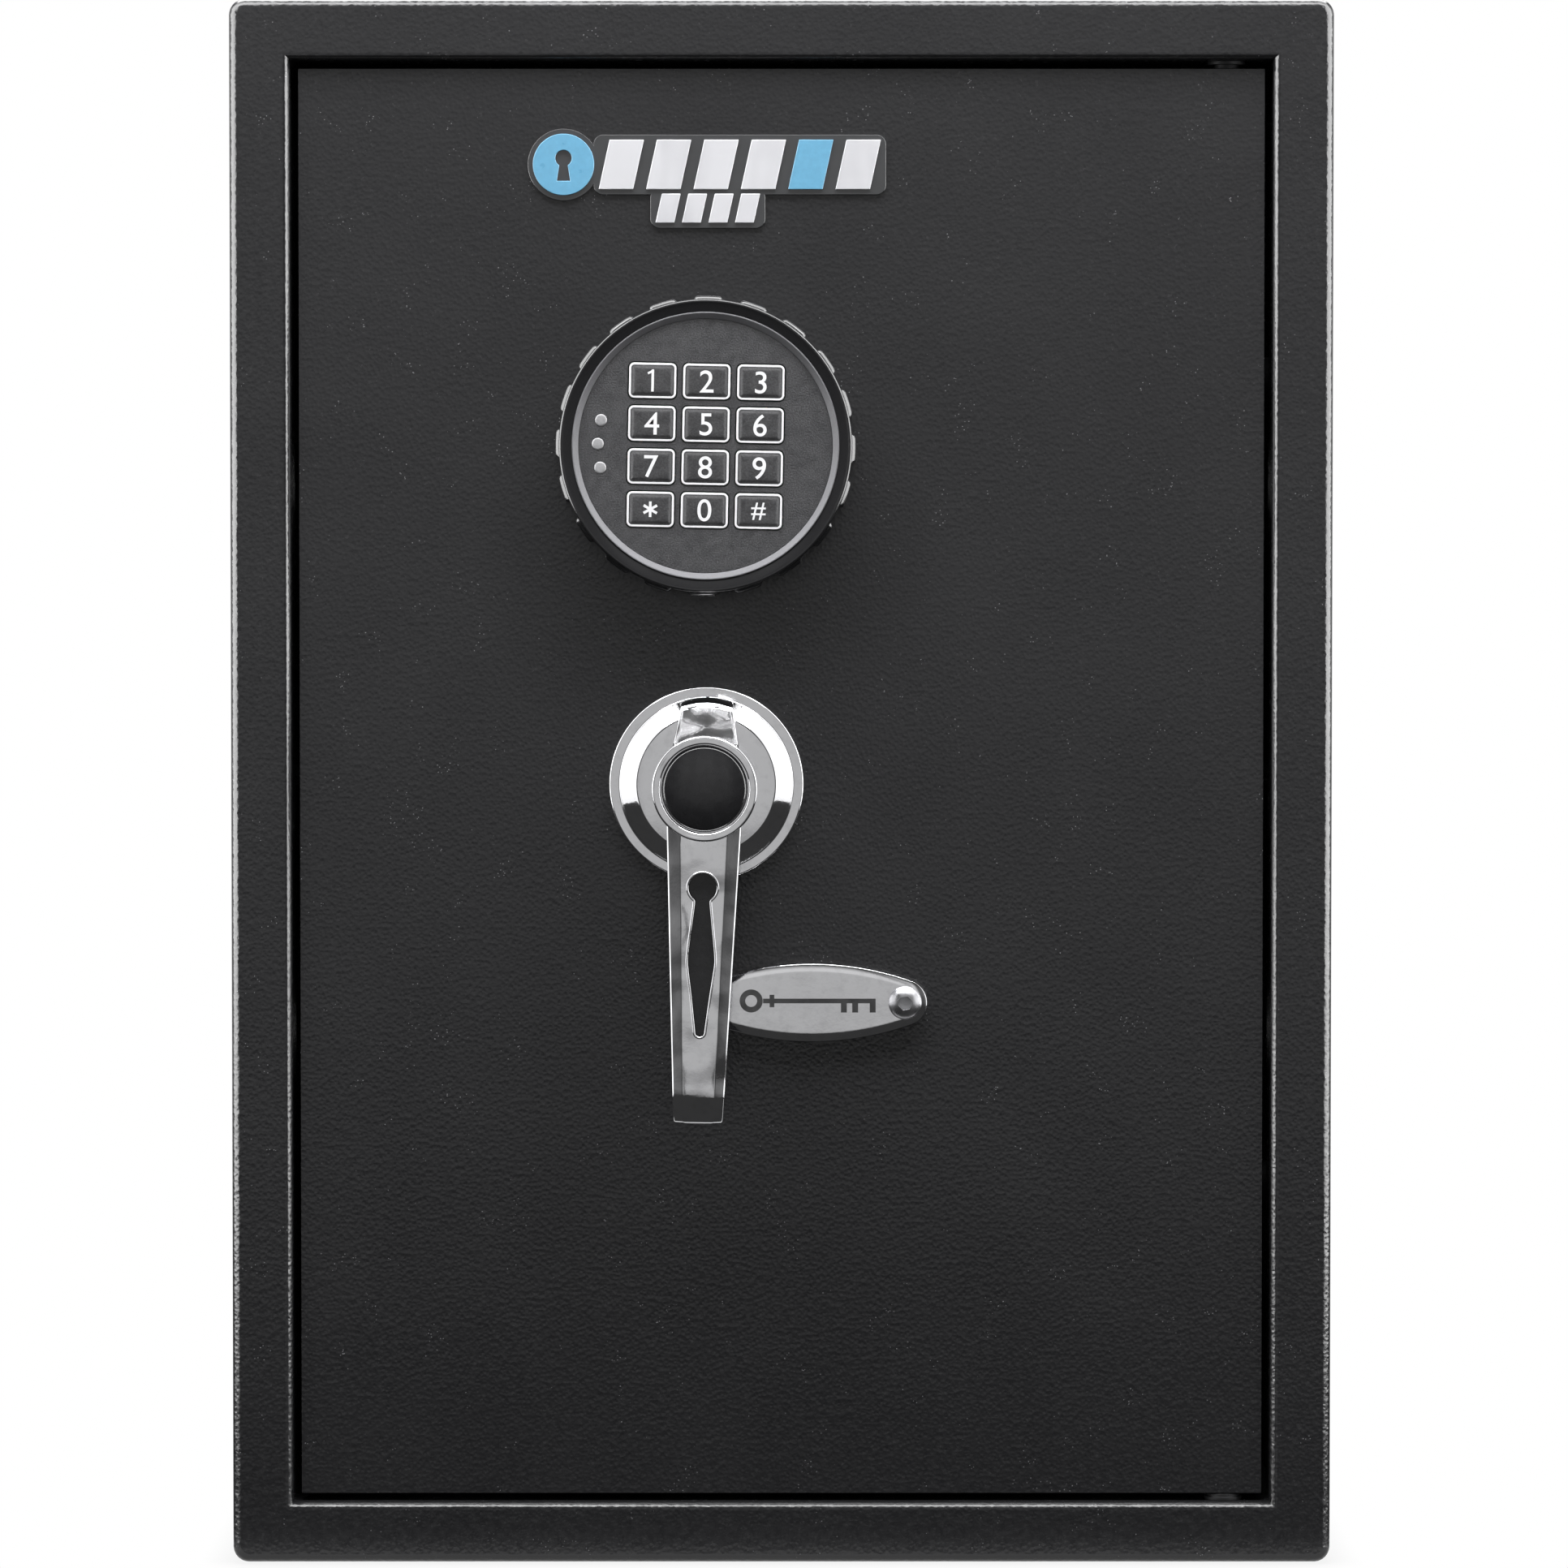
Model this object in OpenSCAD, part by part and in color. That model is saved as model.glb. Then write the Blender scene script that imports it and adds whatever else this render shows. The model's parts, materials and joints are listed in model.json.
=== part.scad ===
// Electronic safe with a recessed flush door, a round keypad, a lever handle and three locking bolts.
// X is to the right seen from the front, the front faces -Y, Z is up, and the floor is at Z = 0.

/* [Body] */
// Width of the body
body_w = 352; // [346:1:372]
// Height of the body
body_h = 500; // [494:1:540]
// Depth of the body
body_d = 310; // [300:1:400]
// Thickness of the body sheet
wall = 3; // [2:0.5:4]
// Radius of the body's long edges
corner_r = 5; // [4:0.5:6]
// Radius of the front face's outer edge
face_r = 3; // [2:0.5:3.5]

/* [Door] */
// Visible width of the front frame
frame_w = 19.3; // [18:0.1:21]
// Depth of the jamb behind the front face
jamb_d = 20; // [19:0.5:20]
// Gap between door and frame
door_gap = 2.5; // [2.2:0.1:3]
// How far the door face stands behind the front face
recess = 5; // [5:0.5:6]
// Thickness of the door plate
door_t = 6; // [6:0.5:7]
// Depth of the cover behind the door plate
cover_d = 45; // [45:1:50]

/* [Lock work] */
// Radius of a locking bolt
bolt_r = 10; // [8:0.5:10]
// How far the bolts travel
bolt_travel = 18; // [14:1:18]
// Radius from the spindle to the crank pin
crank_r = 14; // [13:0.5:14]
// Angle between the crank and the vertical at rest
crank_angle = 40; // [35:1:42]

/* [Keypad] */
// Radius of the keypad over its lugs
keypad_r = 47.6; // [46.5:0.1:49]
// How far the keypad stands out from the door
keypad_h = 24; // [22:0.5:26]
// How far the keypad is turned on its centre, in degrees
keypad_turn = 1.1; // [-2:0.1:2]

/* [Handle] */
// How far the lever leans from the vertical, in degrees
lever_lean = 1.2; // [-2:0.1:2]
// Length of the lever below its centre
lever_len = 105.5; // [98:0.5:112]
// How far the lever's hub stands out from the door
lever_out = 52; // [48:0.5:56]

/* [Hidden] */

$fn = 64;
// Small overlap of a cutting tool beyond the face it cuts
cut = 1;
// Gap between two pieces that pass each other
pass = 0.3;
// Radial clearance of a running fit
run = 0.05;

// Planes of the body and the door, from front to back
front_y = -body_d / 2;
back_y = body_d / 2;
face_y = front_y + recess;
door_back_y = face_y + door_t;
jamb_y = front_y + jamb_d;
cover_y = door_back_y + cover_d;
side_x = body_w / 2;
mid_z = body_h / 2;

// Opening in the front frame, and the door that fills it
open_w = body_w - 2 * frame_w;
open_h = body_h - 2 * frame_w;
door_w = open_w - 2 * door_gap;
door_h = open_h - 2 * door_gap;
open_x = open_w / 2;
open_top = body_h - frame_w;
open_bottom = frame_w;
door_x = door_w / 2;
door_top = mid_z + door_h / 2;
door_bottom = mid_z - door_h / 2;
jamb_t = 3;
lip_r = 2.4;

// Concealed hinge at the right edge of the door
hinge_x = door_x - 12;
hinge_y = face_y + 5;
pin_r = 4;
pin_in = 40;
bush_r = 5.5;
flange_r = 6;
flange_t = 1.2;
washer_t = 1;

// Anchor holes, on rectangles
floor_hole_r = 6;
floor_dx = 110;
floor_dy = 80;
back_hole_r = 5;
back_dx = 100;
back_dz = 100;

// Shelf
shelf_z = 248.3;
sheet_t = 1.5;
shelf_front = -86;
bracket_z = shelf_z - pass;

// Inner cover behind the door plate
cover_left = -door_x + 8.2;
cover_right = door_x - 20.2;
cover_top = door_top - 8;
cover_bottom = door_bottom + 8;
cover_t = 1.5;
cover_in_y = cover_y - cover_t;
pillar_spots = [
    [cover_left + 26, cover_bottom + 20], [cover_left + 26, cover_top - 20],
    [cover_right - 16, cover_bottom + 20], [cover_right - 16, cover_top - 20],
    [cover_right - 16, mid_z],
];

// Handle, keypad, badge and override lock centres
handle_x = -24;
handle_z = mid_z;
keypad_x = -24;
keypad_z = mid_z + 107.5;
badge_x = -23.5;
badge_z = mid_z + 197.5;
lock_x = 9.6;
lock_z = mid_z - 70;
cover_pivot_x = lock_x + 29.9;

// Locking bolts and their carrier
bolt_y = jamb_y + 0.5 + bolt_r;
bolt_zs = [mid_z - 150, mid_z, mid_z + 150];
bolt_tip_x = -open_x + 6;
carrier_x = -98;
flange_w = 4;
web_y = cover_in_y - 11.5;
web_t = 3;
guide_x = -80;
guide_zs = [mid_z - 120, mid_z + 120];
crank_pin_r = 3;
crank_pin_x = handle_x + crank_r * sin(crank_angle);
plunger_x = handle_x - 14;
plunger_r = 4;
arm_bottom = mid_z - 14;
dead_zs = [mid_z - 130, mid_z + 130];
dead_r = 7;
dead_y = jamb_y + 0.5 + dead_r;

// Lever
hub_r = 16.5;
neck_r = 13;
spindle_r = 5;
hub_back = face_y - 11.4;
hub_front = face_y - lever_out + 1;
arm_front = hub_front + 3;
arm_t = 10;
tail_len = 28;
// The last part of the arm is bent back by this much
tip_len = 8.6;
tip_back = 5;
cap_r = 13.4;

// Keypad
key_w = 15;
key_h = 11.25;
key_corner = 1.6;
key_dx = 17.1;
key_dz = 13.55;
key_slack = 0.3;
key_proud = 0.8;
ring_r = 42.3;
face_r2 = 40.2;
pad_front = face_y - keypad_h;
pad_face = pad_front + 2;
pad_face_t = 2.5;
led_r = 2;
led_spots = [[-33.2, 7.5], [-34.1, 0], [-33.2, -7.5]];
lug_count = 20;
lug_h = 1.2;

// Batteries
tray_x = 78;
tray_z = mid_z + 74;
tray_w = 64;
tray_h = 56;
cell_r = 7.1;
cell_pitch = 15.4;

// ---- helpers ----

// A box between two corners
module block(low, high) {
    translate(low) cube(high - low);
}

// A flat outline in X and Z, as thick as from y0 to y1
module slab_xz(y0, y1) {
    translate([0, y1, 0]) rotate([90, 0, 0]) linear_extrude(height = y1 - y0) children();
}

// A flat outline in Y and Z, as thick as from x0 to x1
module slab_yz(x0, x1) {
    translate([x0, 0, 0]) rotate([90, 0, 90]) linear_extrude(height = x1 - x0) children();
}

// A round rod along Y, Z or X
module rod_y(x, z, y0, y1, r) {
    translate([x, y1, z]) rotate([90, 0, 0]) cylinder(r = r, h = y1 - y0);
}

module rod_z(x, y, z0, z1, r) {
    translate([x, y, z0]) cylinder(r = r, h = z1 - z0);
}

module rod_x(y, z, x0, x1, r) {
    translate([x0, y, z]) rotate([0, 90, 0]) cylinder(r = r, h = x1 - x0);
}

// A turned piece that faces the front: its outline is radius against height out of y
module turned(x, z, y) {
    translate([x, y, z]) rotate([90, 0, 0]) rotate_extrude() children();
}

module round_rect(w, h, r) {
    square([w - 2 * r, h], center = true);
    square([w, h - 2 * r], center = true);
    for (sx = [-1, 1], sz = [-1, 1]) {
        translate([sx * (w / 2 - r), sz * (h / 2 - r)]) circle(r = r);
    }
}

module quarter(r) {
    intersection() {
        circle(r = r);
        square(r);
    }
}

// What a rounding of radius r takes off a square edge
module cove(r) {
    difference() {
        square(r);
        circle(r = r);
    }
}

// Turned about the keypad's own centre
module on_keypad() {
    translate([keypad_x, 0, keypad_z]) rotate([0, keypad_turn, 0]) children();
}

module hex(across) {
    circle(r = across / sqrt(3), $fn = 6);
}

// ---- cabinet ----

module case_shell() {
    color([0.2, 0.2, 0.21]) difference() {
        slab_xz(front_y + wall, back_y) {
            translate([0, mid_z]) round_rect(body_w, body_h, corner_r);
        }
        slab_xz(front_y, back_y + cut) {
            translate([0, mid_z]) round_rect(body_w - 2 * wall, body_h - 2 * wall, corner_r - wall + 0.2);
        }
        for (sx = [-1, 1], sy = [-1, 1]) {
            rod_z(sx * floor_dx, sy * floor_dy, -cut, wall + cut, floor_hole_r);
        }
    }
}

module back_panel() {
    color([0.22, 0.22, 0.23]) difference() {
        slab_xz(back_y - wall - 1, back_y - 1) {
            translate([0, mid_z]) round_rect(body_w - 2 * wall, body_h - 2 * wall, corner_r - wall + 0.2);
        }
        for (sx = [-1, 1], sz = [-1, 1]) {
            rod_y(sx * back_dx, mid_z + sz * back_dz, back_y - wall - 2, back_y, back_hole_r);
        }
    }
}

// The rounded outer rim of the front face, as thick as the body sheet
module face_rim() {
    rim_x = side_x - face_r;
    rim_z = mid_z - face_r;
    start_y = front_y + face_r;
    for (sx = [0, 1]) {
        mirror([sx, 0, 0]) translate([rim_x, start_y, corner_r]) mirror([0, 1, 0])
            linear_extrude(height = body_h - 2 * corner_r) quarter(face_r);
    }
    for (sz = [0, 1]) {
        translate([-side_x + corner_r, start_y, mid_z]) mirror([0, 0, sz]) translate([0, 0, rim_z])
            rotate([0, 90, 0]) linear_extrude(height = body_w - 2 * corner_r)
            rotate([0, 0, 180]) quarter(face_r);
    }
    for (sx = [-1, 1], sz = [-1, 1]) {
        turned(sx * (side_x - corner_r), mid_z + sz * (mid_z - corner_r), start_y) {
            square([corner_r - face_r, face_r]);
            translate([corner_r - face_r, 0]) quarter(face_r);
        }
    }
}

// The rounding cut along the opening's upright edges, reaching past its corners by extra
module upright_cove(extra) {
    for (sx = [0, 1]) {
        mirror([sx, 0, 0])
            translate([open_x + lip_r, front_y + lip_r, open_bottom - extra])
            rotate([0, 0, 180]) linear_extrude(height = open_h + 2 * extra) cove(lip_r);
    }
}

module level_cove(extra) {
    for (sz = [0, 1]) {
        translate([-open_x - extra, front_y + lip_r, mid_z]) mirror([0, 0, sz])
            translate([0, 0, open_h / 2 + lip_r]) rotate([0, 90, 0])
            linear_extrude(height = open_w + 2 * extra) mirror([0, 1, 0]) cove(lip_r);
    }
}

module front_frame() {
    color([0.2, 0.2, 0.21]) difference() {
        union() {
            slab_xz(front_y, front_y + wall) {
                translate([0, mid_z])
                    round_rect(body_w - 2 * face_r, body_h - 2 * face_r, corner_r - face_r);
            }
            face_rim();
            slab_xz(front_y + cut, jamb_y) {
                translate([0, mid_z]) square([open_w + 2 * jamb_t, open_h + 2 * jamb_t], center = true);
            }
        }
        block([-open_x, front_y - cut, open_bottom], [open_x, jamb_y + cut, open_top]);
        upright_cove(0);
        level_cove(0);
        intersection() {
            upright_cove(lip_r);
            level_cove(lip_r);
        }
        rod_z(hinge_x, hinge_y, open_bottom - jamb_t - cut, open_bottom + cut, bush_r);
        rod_z(hinge_x, hinge_y, open_top - cut, open_top + jamb_t + cut, bush_r);
    }
}

// Flanged bushes, and a thrust washer under the door
module hinge_bushes() {
    bore_r = pin_r + run;
    washer_z = open_bottom + flange_t;
    color([0.75, 0.6, 0.3]) {
        difference() {
            union() {
                rod_z(hinge_x, hinge_y, open_bottom - jamb_t, open_bottom, bush_r);
                rod_z(hinge_x, hinge_y, open_bottom, washer_z, flange_r);
            }
            rod_z(hinge_x, hinge_y, 0, open_bottom + 10, bore_r);
        }
        difference() {
            rod_z(hinge_x, hinge_y, washer_z, washer_z + washer_t, flange_r - 0.5);
            rod_z(hinge_x, hinge_y, 0, open_bottom + 10, bore_r);
        }
        difference() {
            union() {
                rod_z(hinge_x, hinge_y, open_top, open_top + jamb_t, bush_r);
                rod_z(hinge_x, hinge_y, open_top - flange_t, open_top, flange_r);
            }
            rod_z(hinge_x, hinge_y, open_top - 10, body_h, bore_r);
        }
    }
}

module floor_mat() {
    mat_w = body_w - 14;
    mat_front = jamb_y + 3;
    mat_back = back_y - 7;
    mat_t = 2;
    color([0.12, 0.12, 0.13]) difference() {
        translate([0, (mat_front + mat_back) / 2, wall]) linear_extrude(height = mat_t)
            round_rect(mat_w, mat_back - mat_front, 4);
        for (sx = [-1, 1], sy = [-1, 1]) {
            rod_z(sx * floor_dx, sy * floor_dy, 0, 10, 2 * floor_hole_r);
        }
    }
}

// Four pressed angles, welded to the side walls
module shelf_brackets() {
    wall_x = side_x - wall;
    reach = 13;
    drop = 18;
    bracket_l = 30;
    color([0.2, 0.2, 0.21]) for (sx = [0, 1], y = [shelf_front + 26, back_y - 60]) {
        mirror([sx, 0, 0]) {
            block([wall_x - sheet_t, y, bracket_z - drop], [wall_x, y + bracket_l, bracket_z]);
            block([wall_x - reach, y, bracket_z - sheet_t], [wall_x, y + bracket_l, bracket_z]);
        }
    }
}

// ---- shelf ----

module shelf() {
    shelf_x = side_x - 5;
    lip_x = side_x - 18;
    lip_h = 16;
    shelf_back = back_y - 7;
    color([0.25, 0.25, 0.26]) {
        block([-shelf_x, shelf_front, shelf_z], [shelf_x, shelf_back, shelf_z + sheet_t]);
        block([-lip_x, shelf_front, shelf_z - lip_h], [lip_x, shelf_front + sheet_t, shelf_z + sheet_t]);
        block([-lip_x, shelf_back - sheet_t, shelf_z - lip_h], [lip_x, shelf_back, shelf_z + sheet_t]);
    }
}

module shelf_mat() {
    mat_x = side_x - 8;
    mat_z = shelf_z + sheet_t;
    color([0.12, 0.12, 0.13])
        block([-mat_x, shelf_front + 3, mat_z], [mat_x, back_y - 9, mat_z + 1.5]);
}

// ---- door ----

// The open groove that a hinge pin is welded into, at the back of the plate
module pin_groove(z0, z1) {
    rod_z(hinge_x, hinge_y, z0, z1, pin_r);
    block([hinge_x - pin_r, hinge_y, z0], [hinge_x + pin_r, door_back_y + cut, z1]);
}

module door_plate() {
    color([0.18, 0.18, 0.19]) difference() {
        block([-door_x, face_y, door_bottom], [door_x, door_back_y, door_top]);
        rod_y(handle_x, handle_z, face_y - cut, door_back_y + cut, 11);
        rod_y(keypad_x, keypad_z, face_y - cut, door_back_y + cut, 7);
        rod_y(lock_x, lock_z, face_y - cut, door_back_y + cut, 9.5);
        rod_y(cover_pivot_x, lock_z, face_y - cut, door_back_y + cut, 2.5);
        pin_groove(door_bottom - cut, door_bottom + pin_in);
        pin_groove(door_top - pin_in, door_top + cut);
    }
}

// A pan that closes in the lock work, with openings for the bolts, the batteries and the reset button
module door_inner_cover() {
    mid_x = (cover_left + cover_right) / 2;
    w = cover_right - cover_left;
    h = cover_top - cover_bottom;
    color([0.2, 0.2, 0.21]) difference() {
        slab_xz(door_back_y, cover_y) translate([mid_x, mid_z]) round_rect(w, h, 4);
        slab_xz(door_back_y - cut, cover_in_y) {
            translate([mid_x, mid_z]) round_rect(w - 2 * cover_t, h - 2 * cover_t, 4 - cover_t);
        }
        for (z = bolt_zs) {
            rod_x(bolt_y, z, cover_left - cut, cover_left + cover_t + cut, bolt_r + 0.6);
        }
        for (z = dead_zs) {
            rod_x(dead_y, z, cover_right - cover_t - cut, cover_right + cut, dead_r + 0.5);
        }
        for (s = pillar_spots) {
            rod_y(s[0], s[1], cover_in_y - cut, cover_y + cut, 2.2);
        }
        rod_y(reset_x, reset_z, cover_in_y - cut, cover_y + cut, reset_r + pass);
        block([tray_x - tray_w / 2, cover_in_y - cut, tray_z - tray_h / 2],
              [tray_x + tray_w / 2, cover_y + cut, tray_z + tray_h / 2]);
    }
}

module cover_pillars() {
    color([0.7, 0.7, 0.72]) for (s = pillar_spots) {
        difference() {
            slab_xz(door_back_y, cover_in_y) translate(s) hex(8);
            rod_y(s[0], s[1], cover_in_y - 14, cover_in_y + cut, 1.6);
        }
    }
}

module cover_screws() {
    color([0.6, 0.6, 0.62]) for (s = pillar_spots) {
        difference() {
            union() {
                rod_y(s[0], s[1], cover_in_y - 12, cover_y, 1.6);
                translate([s[0], cover_y, s[1]]) rotate([-90, 0, 0]) rotate_extrude()
                    polygon([[0, 0], [3.9, 0], [3.9, 0.8], [3, 2], [0, 2.4]]);
            }
            slab_xz(cover_y + 1, cover_y + 4) translate(s) hex(2.5);
        }
    }
}

module hinge_pins() {
    tip = 5.5;
    color([0.75, 0.75, 0.77]) {
        rod_z(hinge_x, hinge_y, open_bottom - tip, door_bottom + pin_in, pin_r);
        rod_z(hinge_x, hinge_y, door_top - pin_in, open_top + tip, pin_r);
    }
}

// Fixed bars that hold the hinge side behind the jamb
module dead_bolts() {
    block_w = 20;
    block_x = cover_right - cover_t - block_w;
    color([0.75, 0.75, 0.77]) for (z = dead_zs) {
        rod_x(dead_y, z, block_x + 4, open_x + 8, dead_r);
        block([block_x, door_back_y, z - 13], [block_x + block_w, dead_y + dead_r + 2.5, z + 13]);
    }
}

// Welded plates with true bores that carry the bolts, each on a foot
module bolt_guides() {
    plate_x = cover_left + 14;
    plate_t = 4;
    half = 17;
    color([0.6, 0.6, 0.62]) for (z = bolt_zs) {
        difference() {
            union() {
                block([plate_x, door_back_y, z - half], [plate_x + plate_t, bolt_y + 16, z + half]);
                block([plate_x, door_back_y, z - half], [plate_x + 14, door_back_y + 2, z + half]);
            }
            rod_x(bolt_y, z, plate_x - cut, plate_x + plate_t + cut, bolt_r + run);
        }
    }
}

// Shoulder studs that the carrier's slots ride on
module carrier_guide_screws() {
    color([0.75, 0.75, 0.77]) for (z = guide_zs) {
        rod_y(guide_x, z, door_back_y, web_y - 0.5, 7);
        rod_y(guide_x, z, web_y - 0.5, web_y + web_t + 0.5, 4);
        difference() {
            rod_y(guide_x, z, web_y + web_t + 0.5, web_y + web_t + 4, 7);
            slab_xz(web_y + web_t + 2, web_y + web_t + 5) translate([guide_x, z]) hex(5);
        }
    }
}

module handle_rosette() {
    bore = neck_r + run;
    color([0.8, 0.8, 0.82]) turned(handle_x, handle_z, face_y) {
        polygon([
            [bore, 0], [31, 0], [31, 3], [30.2, 3.8], [27.4, 3.8],
            [27.4, 6.4], [22.6, 10], [22, 10.4], [bore, 10.4],
        ]);
    }
}

module spindle_bush() {
    color([0.75, 0.6, 0.3]) difference() {
        union() {
            rod_y(handle_x, handle_z, face_y, door_back_y, 11);
            rod_y(handle_x, handle_z, door_back_y, door_back_y + 3, 15);
            rod_y(handle_x, handle_z, door_back_y + 3, web_y - 9, 8);
        }
        rod_y(handle_x, handle_z, face_y - cut, web_y, spindle_r + run);
    }
}

// ---- keypad ----

module keypad_base() {
    color([0.15, 0.15, 0.16]) difference() {
        rod_y(keypad_x, keypad_z, face_y - 2, face_y, ring_r);
        rod_y(keypad_x, keypad_z, face_y - 3, face_y + cut, 12);
    }
}

// A round cup with grip lugs round its side
module keypad_housing() {
    side_r = keypad_r - lug_h;
    lug_angle = 11.6;
    edge = 0.8;
    color([0.08, 0.08, 0.085]) on_keypad() {
        turned(0, 0, face_y) {
            difference() {
                union() {
                    square([side_r, keypad_h - edge]);
                    square([side_r - edge, keypad_h]);
                    translate([side_r - edge, keypad_h - edge]) circle(r = edge);
                }
                translate([-cut, -cut]) square([ring_r + cut, keypad_h + 2 * cut]);
            }
        }
        for (i = [0 : lug_count - 1]) {
            rotate([0, i * 360 / lug_count, 0]) translate([0, face_y, 0]) rotate([90, 0, 0])
                rotate([0, 0, 90 - lug_angle / 2]) rotate_extrude(angle = lug_angle)
                translate([side_r - cut, 0]) square([lug_h + cut, keypad_h - 1.4]);
        }
    }
}

module keypad_trim_ring() {
    depth = 5;
    color([0.7, 0.7, 0.72]) on_keypad() turned(0, 0, pad_front + depth) {
        polygon([
            [face_r2, 0], [ring_r, 0], [ring_r, depth - 0.1], [ring_r - 0.3, depth],
            [face_r2, depth - 1.7],
        ]);
    }
}

// The plate that the keys come through
module keypad_face() {
    color([0.09, 0.09, 0.095]) on_keypad() difference() {
        rod_y(0, 0, pad_face, pad_face + pad_face_t, face_r2);
        for (col = [-1 : 1], row = [-1.5 : 1.5]) {
            slab_xz(pad_face - cut, pad_face + pad_face_t + cut) {
                translate([col * key_dx, row * key_dz])
                    round_rect(key_w + 2 * key_slack, key_h + 2 * key_slack, key_corner + key_slack);
            }
        }
        for (s = led_spots) {
            rod_y(s[0], s[1], pad_face - cut, pad_face + pad_face_t + cut, led_r);
        }
    }
}

module indicator_leds() {
    color([0.65, 0.65, 0.65]) on_keypad() for (s = led_spots) {
        rod_y(s[0], s[1], pad_face - 0.3, pad_face + 6, led_r);
    }
}

// Board behind the keys, with one dome switch for each
module keypad_board() {
    board_y = pad_face + 6;
    color([0.1, 0.3, 0.15]) on_keypad() {
        rod_y(0, 0, board_y, board_y + 1.6, 38);
        for (col = [-1 : 1], row = [-1.5 : 1.5]) {
            rod_y(col * key_dx, row * key_dz, board_y - 0.8, board_y, 3);
        }
    }
}

// A key with a hidden rim behind the plate; columns and rows count from the centre
module key_cap(col, row) {
    rim = 0.8;
    rim_y = pad_face + pad_face_t + pass;
    color([0.1, 0.1, 0.105]) on_keypad() translate([col * key_dx, 0, row * key_dz]) {
        slab_xz(pad_face - key_proud, rim_y + 1) round_rect(key_w, key_h, key_corner);
        slab_xz(rim_y, rim_y + 1) round_rect(key_w + 2 * rim, key_h + 2 * rim, key_corner);
    }
}

module key_1() { key_cap(-1, 1.5); }
module key_2() { key_cap(0, 1.5); }
module key_3() { key_cap(1, 1.5); }
module key_4() { key_cap(-1, 0.5); }
module key_5() { key_cap(0, 0.5); }
module key_6() { key_cap(1, 0.5); }
module key_7() { key_cap(-1, -0.5); }
module key_8() { key_cap(0, -0.5); }
module key_9() { key_cap(1, -0.5); }
module key_star() { key_cap(-1, -1.5); }
module key_0() { key_cap(0, -1.5); }
module key_hash() { key_cap(1, -1.5); }

// ---- badge ----

emblem_x = badge_x - 46;
emblem_r = 9.8;
row_x = badge_x + 10.2;
row_w = 90;
row_h = 15.8;
row_bars = 6;
accent_bar = 4;
small_z = badge_z - 13.9;
small_w = 33.4;
small_h = 9.3;
small_bars = 4;
badge_border = 1.6;
backing_t = 1.2;
emblem_t = 1;
bars_t = 0.9;
// Sideways lean of a bar, and the gap to the next one, as shares of its height
bar_lean = 0.22;
bar_gap = 0.26;

// The bars numbered in picked, of a row of count bars that is w wide and h high
module bar_row(w, h, count, picked) {
    lean = h * bar_lean;
    gap = h * bar_gap;
    pitch = (w - lean + gap) / count;
    bar_w = pitch - gap;
    for (i = picked) {
        translate([i * pitch - w / 2, -h / 2])
            polygon([[0, 0], [bar_w, 0], [bar_w + lean, h], [lean, h]]);
    }
}

module badge_backing() {
    border = 2 * badge_border;
    color([0.15, 0.15, 0.17]) slab_xz(face_y - backing_t, face_y) {
        translate([emblem_x, badge_z]) circle(r = emblem_r + badge_border);
        translate([row_x, badge_z]) round_rect(row_w + border, row_h + border, 3);
        translate([badge_x, small_z]) round_rect(small_w + border, small_h + border, 3);
    }
}

// A plain roundel with a keyhole through it, and the one bar of the row that has its colour
module badge_emblem() {
    color([0.45, 0.72, 0.87]) slab_xz(face_y - backing_t - emblem_t, face_y - backing_t) {
        translate([emblem_x, badge_z]) difference() {
            circle(r = emblem_r);
            translate([0, 2]) circle(r = 2.6);
            polygon([[-1, 2], [1, 2], [2.1, -5.2], [-2.1, -5.2]]);
        }
        translate([row_x, badge_z]) bar_row(row_w, row_h, row_bars, [accent_bar]);
    }
}

// A row of plain slanted bars over a shorter row
module badge_bars() {
    silver = [for (i = [0 : row_bars - 1]) if (i != accent_bar) i];
    color([0.85, 0.86, 0.88]) slab_xz(face_y - backing_t - bars_t, face_y - backing_t) {
        translate([row_x, badge_z]) bar_row(row_w, row_h, row_bars, silver);
        translate([badge_x, small_z]) bar_row(small_w, small_h, small_bars, [0 : small_bars - 1]);
    }
}

// ---- override lock ----

plug_r = 6;
cam_y = web_y - 9.5;

module override_lock_body() {
    color([0.7, 0.7, 0.72]) difference() {
        union() {
            rod_y(lock_x, lock_z, face_y - 2.2, face_y, 11);
            rod_y(lock_x, lock_z, face_y, cam_y - 1.5, 9.5);
            slab_xz(door_back_y, door_back_y + 5) translate([lock_x, lock_z]) hex(25);
        }
        rod_y(lock_x, lock_z, face_y - 3, cam_y, plug_r + run);
    }
}

module override_plug() {
    plug_front = face_y - 1.9;
    stub_r = 4;
    color([0.75, 0.65, 0.4]) difference() {
        union() {
            rod_y(lock_x, lock_z, plug_front, cam_y - 0.3, plug_r);
            rod_y(lock_x, lock_z, cam_y - 0.3, cam_y + 6, stub_r);
        }
        block([lock_x - 1.1, plug_front - cut, lock_z - 4], [lock_x + 1.1, plug_front + 9, lock_z + 4]);
    }
}

// A flat cam and its nut on the back of the plug
module override_cam() {
    reach = 26;
    color([0.7, 0.7, 0.72]) difference() {
        union() {
            slab_xz(cam_y, cam_y + 2.5) {
                translate([lock_x, lock_z]) circle(r = 8);
                translate([lock_x - 5, lock_z - reach + 5]) square([10, reach - 5]);
                translate([lock_x, lock_z - reach + 5]) circle(r = 5);
            }
            slab_xz(cam_y + 2.5, cam_y + 5.5) translate([lock_x, lock_z]) hex(12);
        }
        rod_y(lock_x, lock_z, cam_y - cut, cam_y + 7, 4);
    }
}

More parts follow.
